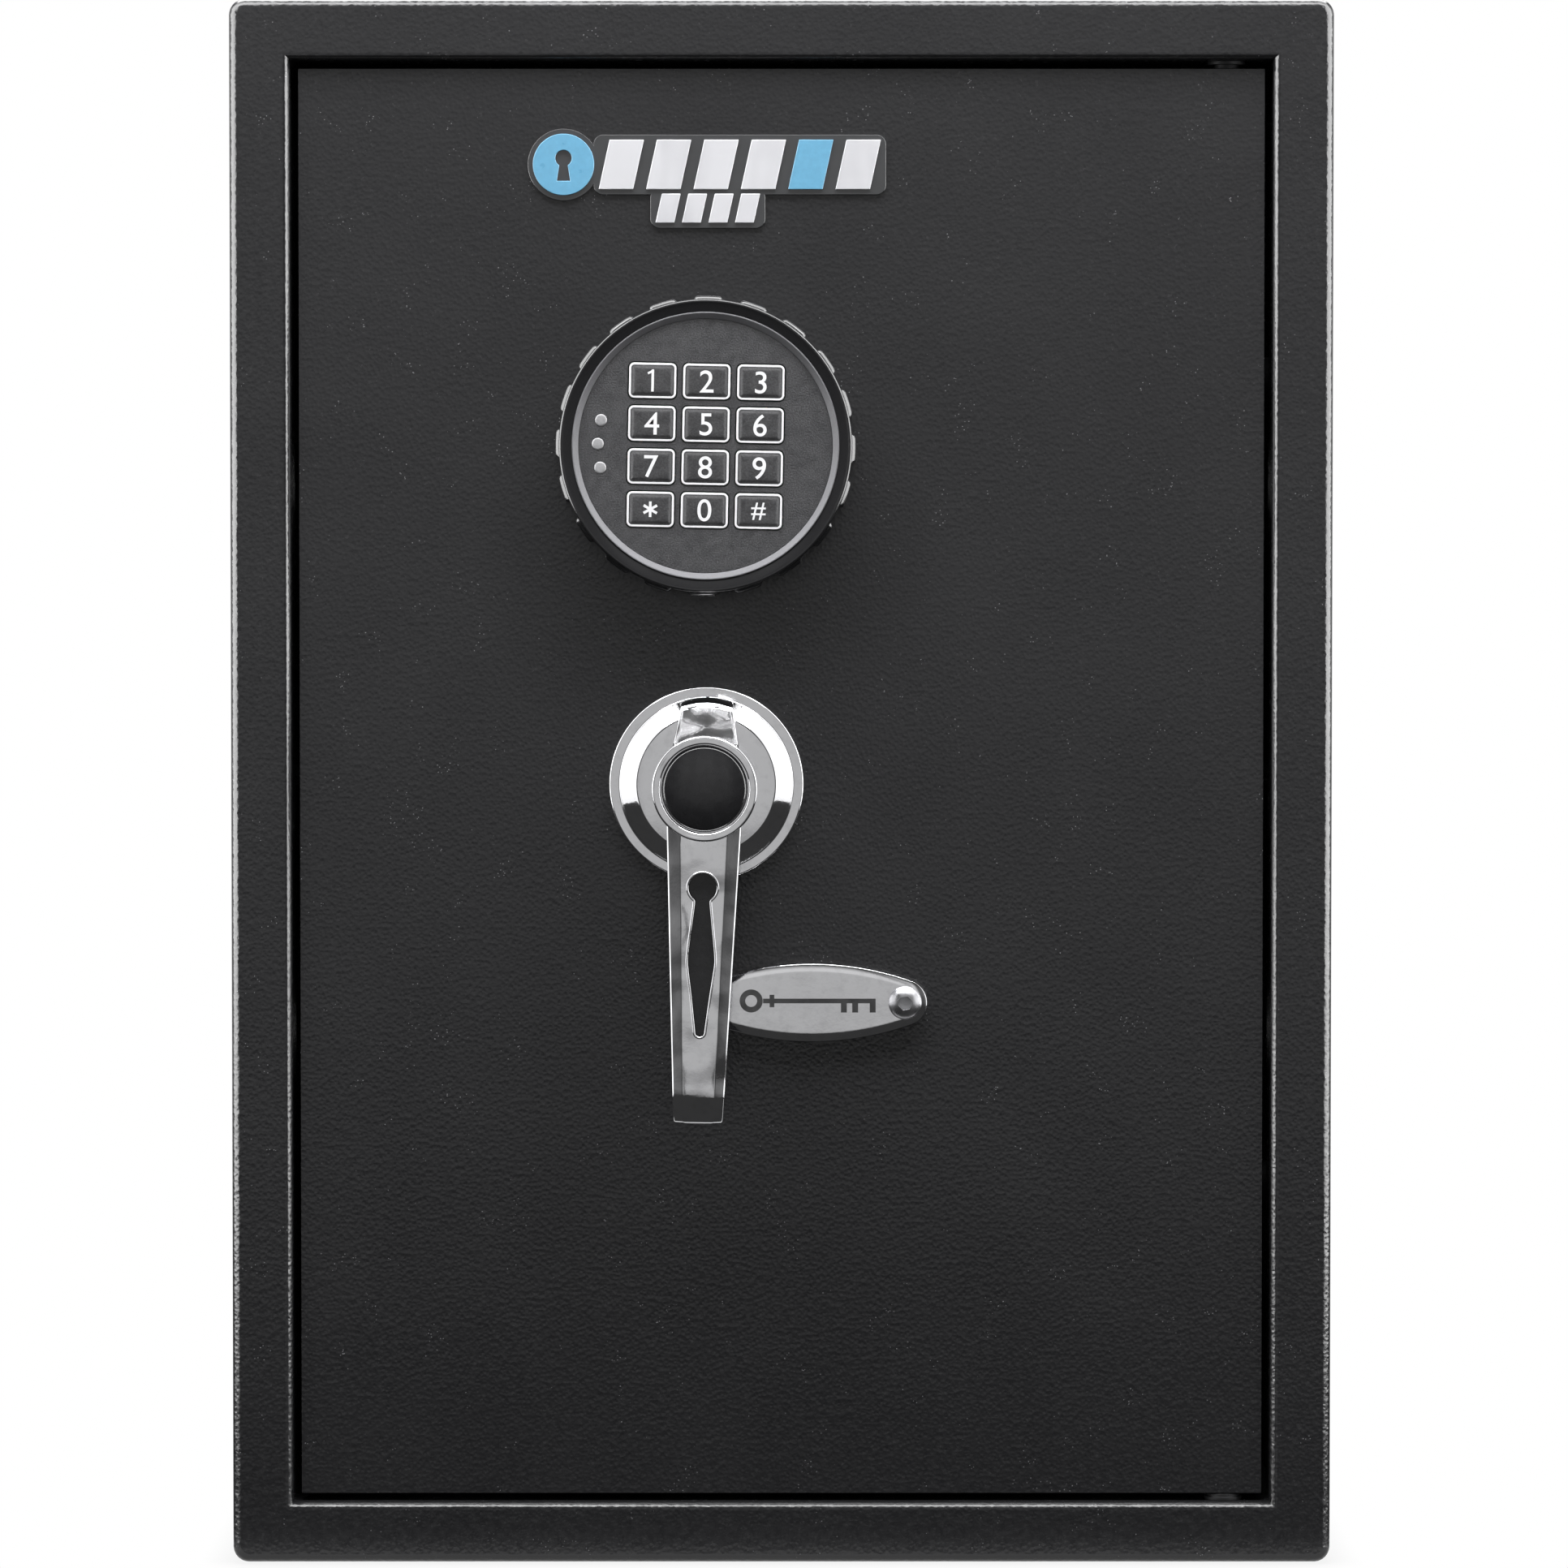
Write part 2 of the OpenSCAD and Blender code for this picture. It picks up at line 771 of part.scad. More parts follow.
// Oval plate that swings aside from the key slot, about a screw at its right end
module key_cover() {
    end_r = 7.4;
    end_dx = 29.6;
    half_h = 12.5;
    side_r = 95.85;
    // Where the long arcs touch the round ends
    flat_dx = 32.08;
    back = face_y - 2.6;
    front = back - 2.8;
    color([0.8, 0.8, 0.82]) difference() {
        slab_xz(front, back) translate([lock_x, lock_z]) {
            intersection() {
                translate([0, half_h - side_r]) circle(r = side_r, $fn = 256);
                translate([0, side_r - half_h]) circle(r = side_r, $fn = 256);
                square([2 * flat_dx, 4 * half_h], center = true);
            }
            translate([-end_dx, 0]) circle(r = end_r);
            translate([end_dx, 0]) circle(r = end_r);
        }
        rod_y(cover_pivot_x, lock_z, front - cut, back + cut, 2.5 + run);
    }
}

// Button-head screw with a spacer under the cover
module key_cover_screw() {
    head_back = face_y - 5.7;
    color([0.75, 0.75, 0.77]) difference() {
        union() {
            rod_y(cover_pivot_x, lock_z, head_back, door_back_y, 2.5);
            rod_y(cover_pivot_x, lock_z, face_y - 2.3, face_y, 5.5);
            turned(cover_pivot_x, lock_z, head_back) {
                polygon([[0, 0], [5.3, 0], [5.3, 0.9], [4.6, 1.9], [3.2, 2.7], [0, 2.9]]);
            }
        }
        slab_xz(head_back - 4, head_back - 0.9) translate([cover_pivot_x, lock_z]) hex(4);
    }
}

// ---- solenoid ----

coil_bottom = arm_bottom - 46;
coil_top = arm_bottom - 14;
plunger_y = web_y + web_t / 2;

// The coil's case on an angle bracket
module solenoid_body() {
    left = plunger_x - 12;
    right = plunger_x + 12;
    case_y = plunger_y - 10;
    color([0.3, 0.3, 0.32]) difference() {
        union() {
            block([left, case_y, coil_bottom], [right, plunger_y + 9, coil_top]);
            block([left, door_back_y, coil_bottom], [right, case_y, coil_bottom + 3]);
            block([left, door_back_y, coil_bottom - 10], [right, door_back_y + 2, coil_bottom]);
        }
        rod_z(plunger_x, plunger_y, coil_bottom + 2, coil_top + cut, plunger_r + run);
    }
}

module solenoid_plunger() {
    tip_z = arm_bottom - 0.4;
    color([0.78, 0.78, 0.8]) {
        rod_z(plunger_x, plunger_y, coil_bottom + 3, tip_z - 1, plunger_r);
        translate([plunger_x, plunger_y, tip_z - 1]) cylinder(r1 = plunger_r, r2 = plunger_r - 1, h = 1);
        rod_z(plunger_x, plunger_y, coil_top + 1, coil_top + 3, plunger_r + 2);
    }
}

// ---- batteries and electronics ----

reset_x = 20;
reset_z = mid_z + 74;
reset_r = 4;
rail_w = 4;
rim_y = cover_y + 1.5;

// A box sunk in the cover, with a rim, two rails for its lid and a holder for the reset switch
module battery_tray() {
    low_x = tray_x - tray_w / 2;
    high_x = tray_x + tray_w / 2;
    low_z = tray_z - tray_h / 2;
    high_z = tray_z + tray_h / 2;
    floor_y = cover_y - 19;
    t = 1.2;
    rail_t = 2.5;
    rail_h = 3.5;
    lip_t = 1;
    holder = 8;
    holder_y = cover_y - 14;
    color([0.1, 0.1, 0.105]) {
        difference() {
            union() {
                block([low_x, floor_y, low_z], [high_x, rim_y, high_z]);
                block([low_x - rail_w, cover_y, low_z - rail_w], [high_x + rail_w, rim_y, high_z + rail_w]);
            }
            block([low_x + t, floor_y + t, low_z + t], [high_x - t, rim_y + cut, high_z - t]);
        }
        for (sx = [-1, 1]) {
            rail_x = tray_x + sx * (tray_w / 2 + rail_w / 2 + 0.75);
            lip_x = tray_x + sx * (tray_w / 2 + rail_w / 2);
            block([rail_x - rail_t / 2, rim_y, low_z - rail_w],
                  [rail_x + rail_t / 2, rim_y + rail_h, high_z + rail_w]);
            block([lip_x - rail_w / 2, rim_y + rail_h - lip_t, low_z - rail_w],
                  [lip_x + rail_w / 2, rim_y + rail_h, high_z + rail_w]);
        }
        block([low_x - 2, rim_y, low_z - rail_w], [high_x + 2, rim_y + rail_h - lip_t, low_z - rail_w + 2]);
        block([reset_x - holder, holder_y, reset_z - holder],
              [reset_x + holder, cover_y - 6.6, reset_z + holder]);
        block([reset_x + holder, holder_y, reset_z - holder / 2],
              [low_x, holder_y + 2, reset_z + holder / 2]);
    }
}

module battery_cover() {
    half_w = tray_w / 2 + 1.2;
    low_z = tray_z - tray_h / 2 - rail_w + 2.3;
    high_z = tray_z + tray_h / 2 + 2;
    ribs = 5;
    color([0.1, 0.1, 0.105]) {
        block([tray_x - half_w, rim_y + pass, low_z], [tray_x + half_w, rim_y + 2.2, high_z]);
        for (i = [0 : ribs - 1]) {
            rib_z = high_z - 16 + i * 2.6;
            block([tray_x - 18, rim_y + 2.2, rib_z], [tray_x + 18, rim_y + 3.4, rib_z + 1]);
        }
    }
}

module battery_cells() {
    cell_y = cover_y - 17.8 + cell_r + 0.2;
    color([0.25, 0.45, 0.35]) for (i = [0 : 3]) {
        x = tray_x + (i - 1.5) * cell_pitch;
        rod_z(x, cell_y, tray_z - 25, tray_z + 24, cell_r);
        rod_z(x, cell_y, tray_z + 24, tray_z + 25.5, 2.6);
    }
}

board_low = [34, mid_z - 50];
board_high = [104, mid_z + 26];
board_y = door_back_y + 5.4;
// Chip, relay and plug on the board: left, bottom, right, top, height
board_blocks = [
    [50, mid_z - 34, 66, mid_z - 12, 3],
    [76, mid_z - 30, 86, mid_z - 8, 6.4],
    [40, mid_z + 12, 60, mid_z + 20, 7.4],
];
// Cans on the board: x, z, radius, height
board_cans = [[94, mid_z + 8, 6, 14.4], [80, mid_z + 8, 4, 10.4]];

module control_board() {
    back = board_y + 1.6;
    inset = 5;
    color([0.1, 0.3, 0.15]) {
        block([board_low[0], board_y, board_low[1]], [board_high[0], back, board_high[1]]);
        for (x = [board_low[0] + inset, board_high[0] - inset]) {
            for (z = [board_low[1] + inset, board_high[1] - inset]) {
                rod_y(x, z, door_back_y, board_y, 3);
            }
        }
        for (b = board_blocks) {
            block([b[0], back, b[1]], [b[2], back + b[4], b[3]]);
        }
        for (c = board_cans) {
            rod_y(c[0], c[1], back, back + c[3], c[2]);
        }
    }
}

// The cable from the keypad board to the control board, in straight runs with round bends
loom_y = door_back_y + 3;
loom_path = [
    [keypad_x, pad_face + 7.6, keypad_z], [keypad_x, loom_y, keypad_z],
    [6, loom_y, keypad_z - 12], [34, loom_y, keypad_z - 44],
    [44, loom_y, mid_z + 34], [50, board_y + 6, mid_z + 28], [50, board_y + 6, mid_z + 20],
];
loom_r = 2.2;

// A round rod from point a to point b
module rod_between(a, b, r) {
    d = b - a;
    l = norm(d);
    turn = atan2(d[1], d[0]);
    tilt = acos(d[2] / l);
    translate(a) rotate([0, tilt, turn]) cylinder(r = r, h = l);
}

module wiring_loom() {
    last = len(loom_path) - 1;
    color([0.15, 0.15, 0.16]) {
        for (i = [0 : last - 1]) {
            rod_between(loom_path[i], loom_path[i + 1], loom_r);
        }
        for (i = [1 : last - 1]) {
            translate(loom_path[i]) sphere(r = loom_r + 0.4);
        }
    }
}

module reset_button() {
    collar_y = cover_in_y - 2.2;
    color([0.75, 0.1, 0.1]) {
        rod_y(reset_x, reset_z, collar_y, cover_y + 2.5, reset_r);
        rod_y(reset_x, reset_z, collar_y, cover_in_y - pass, reset_r + 2);
    }
}

// ---- lever ----

module on_handle() {
    translate([handle_x, 0, handle_z]) rotate([0, lever_lean, 0]) children();
}

// Front outline of the arm and of the tail above the hub
module lever_outline() {
    root = 12.2;
    tip = 7.8;
    tail = 8.2;
    polygon([
        [-root, 0], [-tip, -lever_len], [tip, -lever_len], [root, 0],
        [tail, tail_len], [-tail, tail_len],
    ]);
}

// Side outline, Y against Z: the arm thins to its bent tip and the tail slopes back to the rosette
module lever_side() {
    arm_back = arm_front + arm_t;
    polygon([
        [arm_front, 10], [arm_front, tip_len - lever_len], [arm_front + tip_back, -lever_len],
        [arm_back - 1, -lever_len], [arm_back, 12 - lever_len], [arm_back, -26],
        [hub_back - 6, -12], [hub_back - 1.5, 12], [hub_back - 1.5, tail_len],
        [hub_back - 14, tail_len], [hub_back - 19, tail_len - 1.6],
    ]);
}

// A round eye over a long drop, with a round tip
module lever_slot() {
    translate([0, -31]) circle(r = 4.7);
    polygon([
        [-2.7, -33], [-2.5, -36], [-4.45, -54], [-1.6, -76.3],
        [1.6, -76.3], [4.45, -54], [2.5, -36], [2.7, -33],
    ]);
    translate([0, -76.3]) circle(r = 1.6);
}

module lever_handle() {
    slot_d = 3;
    cap_d = 6;
    color([0.8, 0.8, 0.82]) on_handle() difference() {
        union() {
            rod_y(0, 0, hub_front, hub_back, hub_r);
            rod_y(0, 0, hub_back, face_y - 1, neck_r);
            intersection() {
                slab_xz(hub_front, hub_back) lever_outline();
                slab_yz(-hub_r, hub_r) lever_side();
            }
        }
        slab_xz(arm_front - cut, arm_front + slot_d) lever_slot();
        rod_y(0, 0, hub_front - cut, hub_front + cap_d, cap_r);
        rod_y(0, 0, hub_front, face_y, spindle_r);
    }
}

module lever_cap() {
    depth = 6;
    color([0.03, 0.03, 0.03]) turned(handle_x, handle_z, hub_front + depth) {
        polygon([
            [0, 0], [cap_r, 0], [cap_r, depth - 0.4], [cap_r - 0.6, depth + 0.1],
            [8, depth + 0.7], [0, depth + 1],
        ]);
    }
}

crank_y = web_y - 8;
crank_t = 4;

module spindle() {
    color([0.7, 0.7, 0.72]) {
        rod_y(handle_x, handle_z, hub_front + 6, crank_y + crank_t, spindle_r);
        rod_y(handle_x, handle_z, crank_y + crank_t, web_y - 0.6, 3.5);
    }
}

// Crank plate and pin; the pin's head keeps the carrier on
module crank() {
    color([0.65, 0.65, 0.67]) translate([handle_x, 0, handle_z]) rotate([0, crank_angle, 0]) {
        difference() {
            slab_xz(crank_y, crank_y + crank_t) {
                circle(r = 9);
                translate([-6, 0]) square([12, crank_r]);
                translate([0, crank_r]) circle(r = 6);
            }
            rod_y(0, 0, crank_y - cut, crank_y + crank_t + cut, spindle_r);
        }
        rod_y(0, crank_r, crank_y + crank_t, web_y + web_t + 0.5, crank_pin_r);
        rod_y(0, crank_r, web_y + web_t + 0.5, web_y + web_t + 2, crank_pin_r + 1.6);
    }
}

module crank_nut() {
    color([0.75, 0.75, 0.77]) difference() {
        slab_xz(crank_y + crank_t, web_y - 0.8) translate([handle_x, handle_z]) hex(10);
        rod_y(handle_x, handle_z, crank_y, web_y, 3.5);
    }
}

// ---- locking bolts ----

// One plate with a bent edge that holds the bolts, an arm to the crank, guide slots and two catch notches
module bolt_carrier() {
    slot_half = 4.3;
    notch_half = 4.4;
    crank_slot = crank_pin_r + 0.6;
    web_right = guide_x + 26;
    arm_right = crank_pin_x + 9;
    z0 = mid_z - 165;
    z1 = mid_z + 165;
    front = web_y - cut;
    back = web_y + web_t;
    color([0.65, 0.65, 0.67]) difference() {
        union() {
            block([carrier_x, bolt_y - 11, z0], [carrier_x + flange_w, back, z1]);
            block([carrier_x, web_y, z0], [web_right, back, z1]);
            block([carrier_x, web_y, arm_bottom], [arm_right, back, mid_z + 26]);
        }
        for (z = guide_zs) {
            slab_xz(front, back + cut) {
                translate([guide_x, z]) circle(r = slot_half);
                translate([guide_x, z - slot_half]) square([bolt_travel, 2 * slot_half]);
                translate([guide_x + bolt_travel, z]) circle(r = slot_half);
            }
        }
        slab_xz(front, back + cut) {
            translate([crank_pin_x - crank_slot, mid_z + 5.5]) square([2 * crank_slot, 13.5]);
            for (x = [plunger_x, plunger_x + bolt_travel]) {
                translate([x - notch_half, arm_bottom - cut]) square([2 * notch_half, 9 + cut]);
            }
        }
        for (z = bolt_zs) {
            rod_x(bolt_y, z, carrier_x - cut, carrier_x + flange_w + cut, 3.3);
        }
    }
}

module locking_bolts() {
    tip = 1.5;
    color([0.8, 0.8, 0.82]) for (z = bolt_zs) {
        difference() {
            union() {
                rod_x(bolt_y, z, bolt_tip_x + tip, carrier_x, bolt_r);
                translate([bolt_tip_x, bolt_y, z]) rotate([0, 90, 0])
                    cylinder(r1 = bolt_r - tip, r2 = bolt_r, h = tip);
            }
            rod_x(bolt_y, z, carrier_x - 14, carrier_x + cut, 3);
        }
    }
}

module bolt_screws() {
    head_x = carrier_x + flange_w;
    color([0.55, 0.55, 0.57]) for (z = bolt_zs) {
        rod_x(bolt_y, z, carrier_x - 12, head_x, 3);
        difference() {
            rod_x(bolt_y, z, head_x, head_x + 6, 5);
            slab_yz(head_x + 3, head_x + 7) translate([bolt_y, z]) hex(5);
        }
    }
}

case_shell();
back_panel();
front_frame();
hinge_bushes();
floor_mat();
shelf_brackets();
shelf();
shelf_mat();
door_plate();
door_inner_cover();
cover_pillars();
cover_screws();
hinge_pins();
dead_bolts();
bolt_guides();
carrier_guide_screws();
handle_rosette();
spindle_bush();
keypad_base();
keypad_housing();
keypad_trim_ring();
keypad_face();
indicator_leds();
keypad_board();
wiring_loom();
badge_backing();
badge_emblem();
badge_bars();
override_lock_body();
solenoid_body();
battery_tray();
battery_cells();
control_board();
key_cover_screw();
lever_handle();
lever_cap();
spindle();
crank();
crank_nut();
bolt_carrier();
locking_bolts();
bolt_screws();
override_plug();
override_cam();
solenoid_plunger();
key_cover();
battery_cover();
reset_button();
key_1();
key_2();
key_3();
key_4();
key_5();
key_6();
key_7();
key_8();
key_9();
key_star();
key_0();
key_hash();
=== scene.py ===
"""The looks of an electronic safe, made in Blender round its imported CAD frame.

Lengths are in metres, in the frame's own axes: +X right, -Y out of the front, +Z up.
"""
import json
import math

import bmesh
import bpy
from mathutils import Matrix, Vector


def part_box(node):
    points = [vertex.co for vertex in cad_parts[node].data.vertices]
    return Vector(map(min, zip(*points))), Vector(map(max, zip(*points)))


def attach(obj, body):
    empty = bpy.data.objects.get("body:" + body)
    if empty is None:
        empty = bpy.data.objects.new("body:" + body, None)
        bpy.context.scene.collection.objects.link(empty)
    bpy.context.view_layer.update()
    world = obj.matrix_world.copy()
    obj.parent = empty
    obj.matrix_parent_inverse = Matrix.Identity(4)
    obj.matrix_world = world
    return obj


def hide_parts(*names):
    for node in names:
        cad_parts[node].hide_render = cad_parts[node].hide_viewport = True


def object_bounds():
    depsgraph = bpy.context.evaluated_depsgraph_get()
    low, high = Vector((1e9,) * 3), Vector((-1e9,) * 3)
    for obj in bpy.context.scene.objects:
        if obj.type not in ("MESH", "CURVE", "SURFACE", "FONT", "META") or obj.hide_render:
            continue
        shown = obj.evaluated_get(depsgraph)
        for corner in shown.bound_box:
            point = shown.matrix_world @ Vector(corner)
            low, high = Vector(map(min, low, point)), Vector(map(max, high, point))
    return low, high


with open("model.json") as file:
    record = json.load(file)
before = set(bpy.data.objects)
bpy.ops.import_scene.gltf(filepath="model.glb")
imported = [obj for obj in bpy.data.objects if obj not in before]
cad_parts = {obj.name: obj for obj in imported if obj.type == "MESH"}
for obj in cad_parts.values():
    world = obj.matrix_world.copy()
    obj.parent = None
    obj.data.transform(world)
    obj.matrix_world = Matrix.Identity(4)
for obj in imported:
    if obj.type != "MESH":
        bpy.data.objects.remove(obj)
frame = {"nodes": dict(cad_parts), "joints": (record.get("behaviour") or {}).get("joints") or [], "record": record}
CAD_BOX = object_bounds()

MM = 0.001
KEYPAD_TURN = math.radians(1.1)
LEVER_LEAN = math.radians(1.2)
JOINTS = {joint["name"]: joint for joint in frame["joints"]}


# ---- places, all from the frame ----

def centre(node):
    low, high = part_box(node)
    return (low + high) / 2


DOOR_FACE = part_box("door_plate")[0].y
KEYPAD = centre("keypad_base")
HANDLE = Vector(JOINTS["lever_turn"]["pos_m"])
COVER = centre("key_cover")
SCREW = centre("key_cover_screw")


def turned_about(middle, angle, u, v):
    """The X and Z of the point that is u right of and v above middle, turned clockwise by angle."""
    x = middle.x + u * math.cos(angle) + v * math.sin(angle)
    z = middle.z - u * math.sin(angle) + v * math.cos(angle)
    return x, z


def on_keypad(u, v, out):
    """A point of the keypad, out from the door's face."""
    x, z = turned_about(KEYPAD, KEYPAD_TURN, u, v)
    return Vector((x, DOOR_FACE - out, z))


def on_lever(u, v, out):
    """A point of the leaning lever, out from the door's face; v counts up from the hub's centre."""
    x, z = turned_about(HANDLE, LEVER_LEAN, u, v)
    return Vector((x, DOOR_FACE - out, z))


# ---- materials ----

# The wave texture's scale at which one band is one unit wide
ONE_BAND = 0.314


class Finish:
    """A material, and the few node calls that the finishes below are written with."""

    def __init__(self, name, colour, rough, metal=0.0, **sockets):
        self.material = bpy.data.materials.new(name)
        self.material.use_nodes = True
        self.tree = self.material.node_tree
        self.surface = self.tree.nodes["Principled BSDF"]
        self.colour = (*colour, 1)
        self.set("Base Color", self.colour)
        self.set("Roughness", rough)
        self.set("Metallic", metal)
        for socket, value in sockets.items():
            self.set(socket.replace("_", " "), value)
        self.place = self.tree.nodes.new("ShaderNodeTexCoord").outputs["Object"]
        self.relief = None

    def set(self, socket, value):
        self.surface.inputs[socket].default_value = value

    def link(self, value, socket):
        self.tree.links.new(value, socket)

    def scaled(self, size, stretch):
        """The place in the object, with a length of size as its unit, drawn out along each axis."""
        mapping = self.tree.nodes.new("ShaderNodeMapping")
        mapping.inputs["Scale"].default_value = [1 / (size * s) for s in stretch]
        self.link(self.place, mapping.inputs["Vector"])
        return mapping.outputs["Vector"]

    def noise(self, size, detail=2.0, stretch=(1, 1, 1)):
        texture = self.tree.nodes.new("ShaderNodeTexNoise")
        texture.inputs["Scale"].default_value = 1
        texture.inputs["Detail"].default_value = detail
        self.link(self.scaled(size, stretch), texture.inputs["Vector"])
        return texture.outputs["Fac"]

    def cells(self, size, smooth):
        texture = self.tree.nodes.new("ShaderNodeTexVoronoi")
        texture.feature = "SMOOTH_F1"
        texture.inputs["Scale"].default_value = 1
        texture.inputs["Smoothness"].default_value = smooth
        self.link(self.scaled(size, (1, 1, 1)), texture.inputs["Vector"])
        return texture.outputs["Distance"]

    def bands(self, size, axis):
        """Bands that come round once in every size."""
        texture = self.tree.nodes.new("ShaderNodeTexWave")
        texture.bands_direction = axis
        texture.inputs["Scale"].default_value = ONE_BAND
        self.link(self.scaled(size, (1, 1, 1)), texture.inputs["Vector"])
        return texture.outputs["Fac"]

    def spread(self, value, low, high, start=0.3, end=0.7):
        """A value that runs from start to end, mapped onto low to high."""
        node = self.tree.nodes.new("ShaderNodeMapRange")
        for socket, number in zip(("From Min", "From Max", "To Min", "To Max"), (start, end, low, high)):
            node.inputs[socket].default_value = number
        self.link(value, node.inputs["Value"])
        return node.outputs["Result"]

    def plus(self, first, second):
        node = self.tree.nodes.new("ShaderNodeMath")
        self.link(first, node.inputs[0])
        self.link(second, node.inputs[1])
        return node.outputs[0]

    def rough(self, value, low, high):
        self.link(self.spread(value, low, high), self.surface.inputs["Roughness"])

    def tint(self, value, other, start=0.3, end=0.7):
        """Mixes the base colour towards another one as value goes from start to end."""
        mix = self.tree.nodes.new("ShaderNodeMix")
        mix.data_type = "RGBA"
        self.link(self.spread(value, 0, 1, start, end), mix.inputs["Factor"])
        base = self.surface.inputs["Base Color"]
        if base.is_linked:
            self.link(base.links[0].from_socket, mix.inputs[6])
        else:
            mix.inputs[6].default_value = self.colour
        mix.inputs[7].default_value = (*other, 1)
        self.link(mix.outputs[2], base)

    def bump(self, height, depth):
        """Adds a relief, depth deep, to those that the surface already has."""
        node = self.tree.nodes.new("ShaderNodeBump")
        node.inputs["Distance"].default_value = depth
        node.inputs["Strength"].default_value = 1.0
        self.link(height, node.inputs["Height"])
        if self.relief:
            self.link(self.relief, node.inputs["Normal"])
        self.relief = node.outputs["Normal"]
        self.link(self.relief, self.surface.inputs["Normal"])


def powder_coat():
    """Baked powder coat: glossy, with a leathery relief of rounded cells, and a few pale specks painted in as
    glints.
    """
    finish = Finish("powder_coat", (0.014, 0.014, 0.0152), 0.22)
    finish.tint(finish.noise(35 * MM, 3), (0.017, 0.017, 0.0182))
    finish.rough(finish.noise(2.5 * MM, 3), 0.18, 0.28)
    # Pale specks: painted glints, as of the coat's grains catching the light, scattered in patches
    glint_specks = finish.cells(1.2 * MM, 0.0)
    glint_patches = finish.spread(finish.noise(9 * MM, 2), 0.4, 0, 0.44, 0.64)
    finish.tint(finish.plus(glint_specks, glint_patches), (0.22, 0.22, 0.23), 0.16, 0.10)
    finish.bump(finish.cells(1.3 * MM, 0.5), 0.09 * MM)
    finish.bump(finish.noise(0.6 * MM, 2), 0.035 * MM)
    return finish.material


def satin_paint():
    finish = Finish("inner_coat", (0.045, 0.045, 0.049), 0.42)
    finish.tint(finish.noise(30 * MM, 3), (0.055, 0.055, 0.059))
    finish.rough(finish.noise(5 * MM, 3), 0.36, 0.5)
    finish.bump(finish.noise(1.2 * MM, 2), 0.03 * MM)
    return finish.material


def chrome(name, wave):
    """Plated and polished, with waves of a depth in mm, smudges and hairline grain."""
    colour, rough = (0.88, 0.88, 0.90), 0.05
    finish = Finish(name, colour, rough, metal=1.0)
    finish.rough(finish.noise(7 * MM, 4), rough * 0.6, rough * 2.0)
    finish.tint(finish.noise(3 * MM, 5), [c * 0.9 for c in colour], 0.5, 0.75)
    finish.bump(finish.noise(16 * MM, 1), wave * MM)
    finish.bump(finish.noise(1.4 * MM, 3), 0.008 * MM)
    finish.bump(finish.noise(0.5 * MM, 2), 0.002 * MM)
    return finish.material


def steel(name, colour, rough, grain=(1, 1, 1)):
    """Bright or plated steel with a fine drawn grain."""
    finish = Finish(name, colour, rough, metal=1.0)
    finish.rough(finish.noise(6 * MM, 4), rough * 0.75, rough * 1.4)
    finish.tint(finish.noise(4 * MM, 4), [c * 0.82 for c in colour])
    finish.bump(finish.noise(0.4 * MM, 2, grain), 0.012 * MM)
    return finish.material


def plastic(name, colour, rough, grain=0.35, depth=0.02, speck=1.35, **sockets):
    """Moulded plastic with a spark-eroded grain, its size and depth in mm; speck brightens its specks."""
    finish = Finish(name, colour, rough, **sockets)
    finish.tint(finish.noise(grain * MM, 2), [c * speck for c in colour], 0.35, 0.7)
    finish.rough(finish.noise(3 * MM, 3), rough * 0.85, rough * 1.2)
    finish.bump(finish.noise(grain * MM, 2), depth * MM)
    return finish.material


def felt():
    finish = Finish("felt", (0.022, 0.022, 0.026), 0.95, Sheen_Weight=0.35, Sheen_Roughness=0.4)
    finish.tint(finish.noise(0.8 * MM, 4), (0.045, 0.045, 0.05), 0.45, 0.75)
    finish.bump(finish.noise(0.5 * MM, 5), 0.25 * MM)
    return finish.material


def circuit_board():
    """Green solder mask over traces that show as faint paler lines."""
    finish = Finish("board_green", (0.012, 0.085, 0.035), 0.35, Coat_Weight=0.3)
    traces = finish.cells(5 * MM, 0.0)
    finish.tint(traces, (0.03, 0.16, 0.07), 0.45, 0.5)
    finish.tint(finish.noise(1.5 * MM, 1), (0.5, 0.42, 0.22), 0.72, 0.73)
    finish.bump(traces, 0.04 * MM)
    return finish.material


def braided_sleeve():
    finish = Finish("loom_sleeve", (0.014, 0.014, 0.015), 0.5)
    finish.bump(finish.bands(1.2 * MM, "DIAGONAL"), 0.12 * MM)
    finish.tint(finish.noise(0.9 * MM, 2), (0.03, 0.03, 0.032))
    return finish.material


def cell_wrap():
    """A shrink-wrapped cell: dark green with a plain pale band round it."""
    finish = Finish("cell_wrap", (0.02, 0.09, 0.05), 0.3, Coat_Weight=0.4)
    finish.tint(finish.bands(30 * MM, "Z"), (0.5, 0.5, 0.46), 0.9, 0.92)
    finish.rough(finish.noise(4 * MM, 2), 0.25, 0.4)
    finish.bump(finish.noise(3 * MM, 2), 0.02 * MM)
    return finish.material


def lens():
    finish = Finish("led_lens", (0.29, 0.29, 0.30), 0.35, Coat_Weight=0.2)
    finish.tint(finish.noise(0.7 * MM, 2), (0.36, 0.36, 0.37))
    finish.bump(finish.noise(0.4 * MM, 2), 0.01 * MM)
    return finish.material


def badge_silver():
    """Satin foil: pale, with the broad soft bands of a drawn surface."""
    finish = Finish("badge_silver", (0.60, 0.60, 0.625), 0.32, metal=0.1)
    finish.tint(finish.noise(12 * MM, 1, (0.7, 1, 2)), (0.50, 0.50, 0.525), 0.45, 0.8)
    finish.rough(finish.noise(1.2 * MM, 2, (8, 1, 1)), 0.28, 0.38)
    finish.bump(finish.noise(0.25 * MM, 1, (12, 1, 1)), 0.002 * MM)
    return finish.material


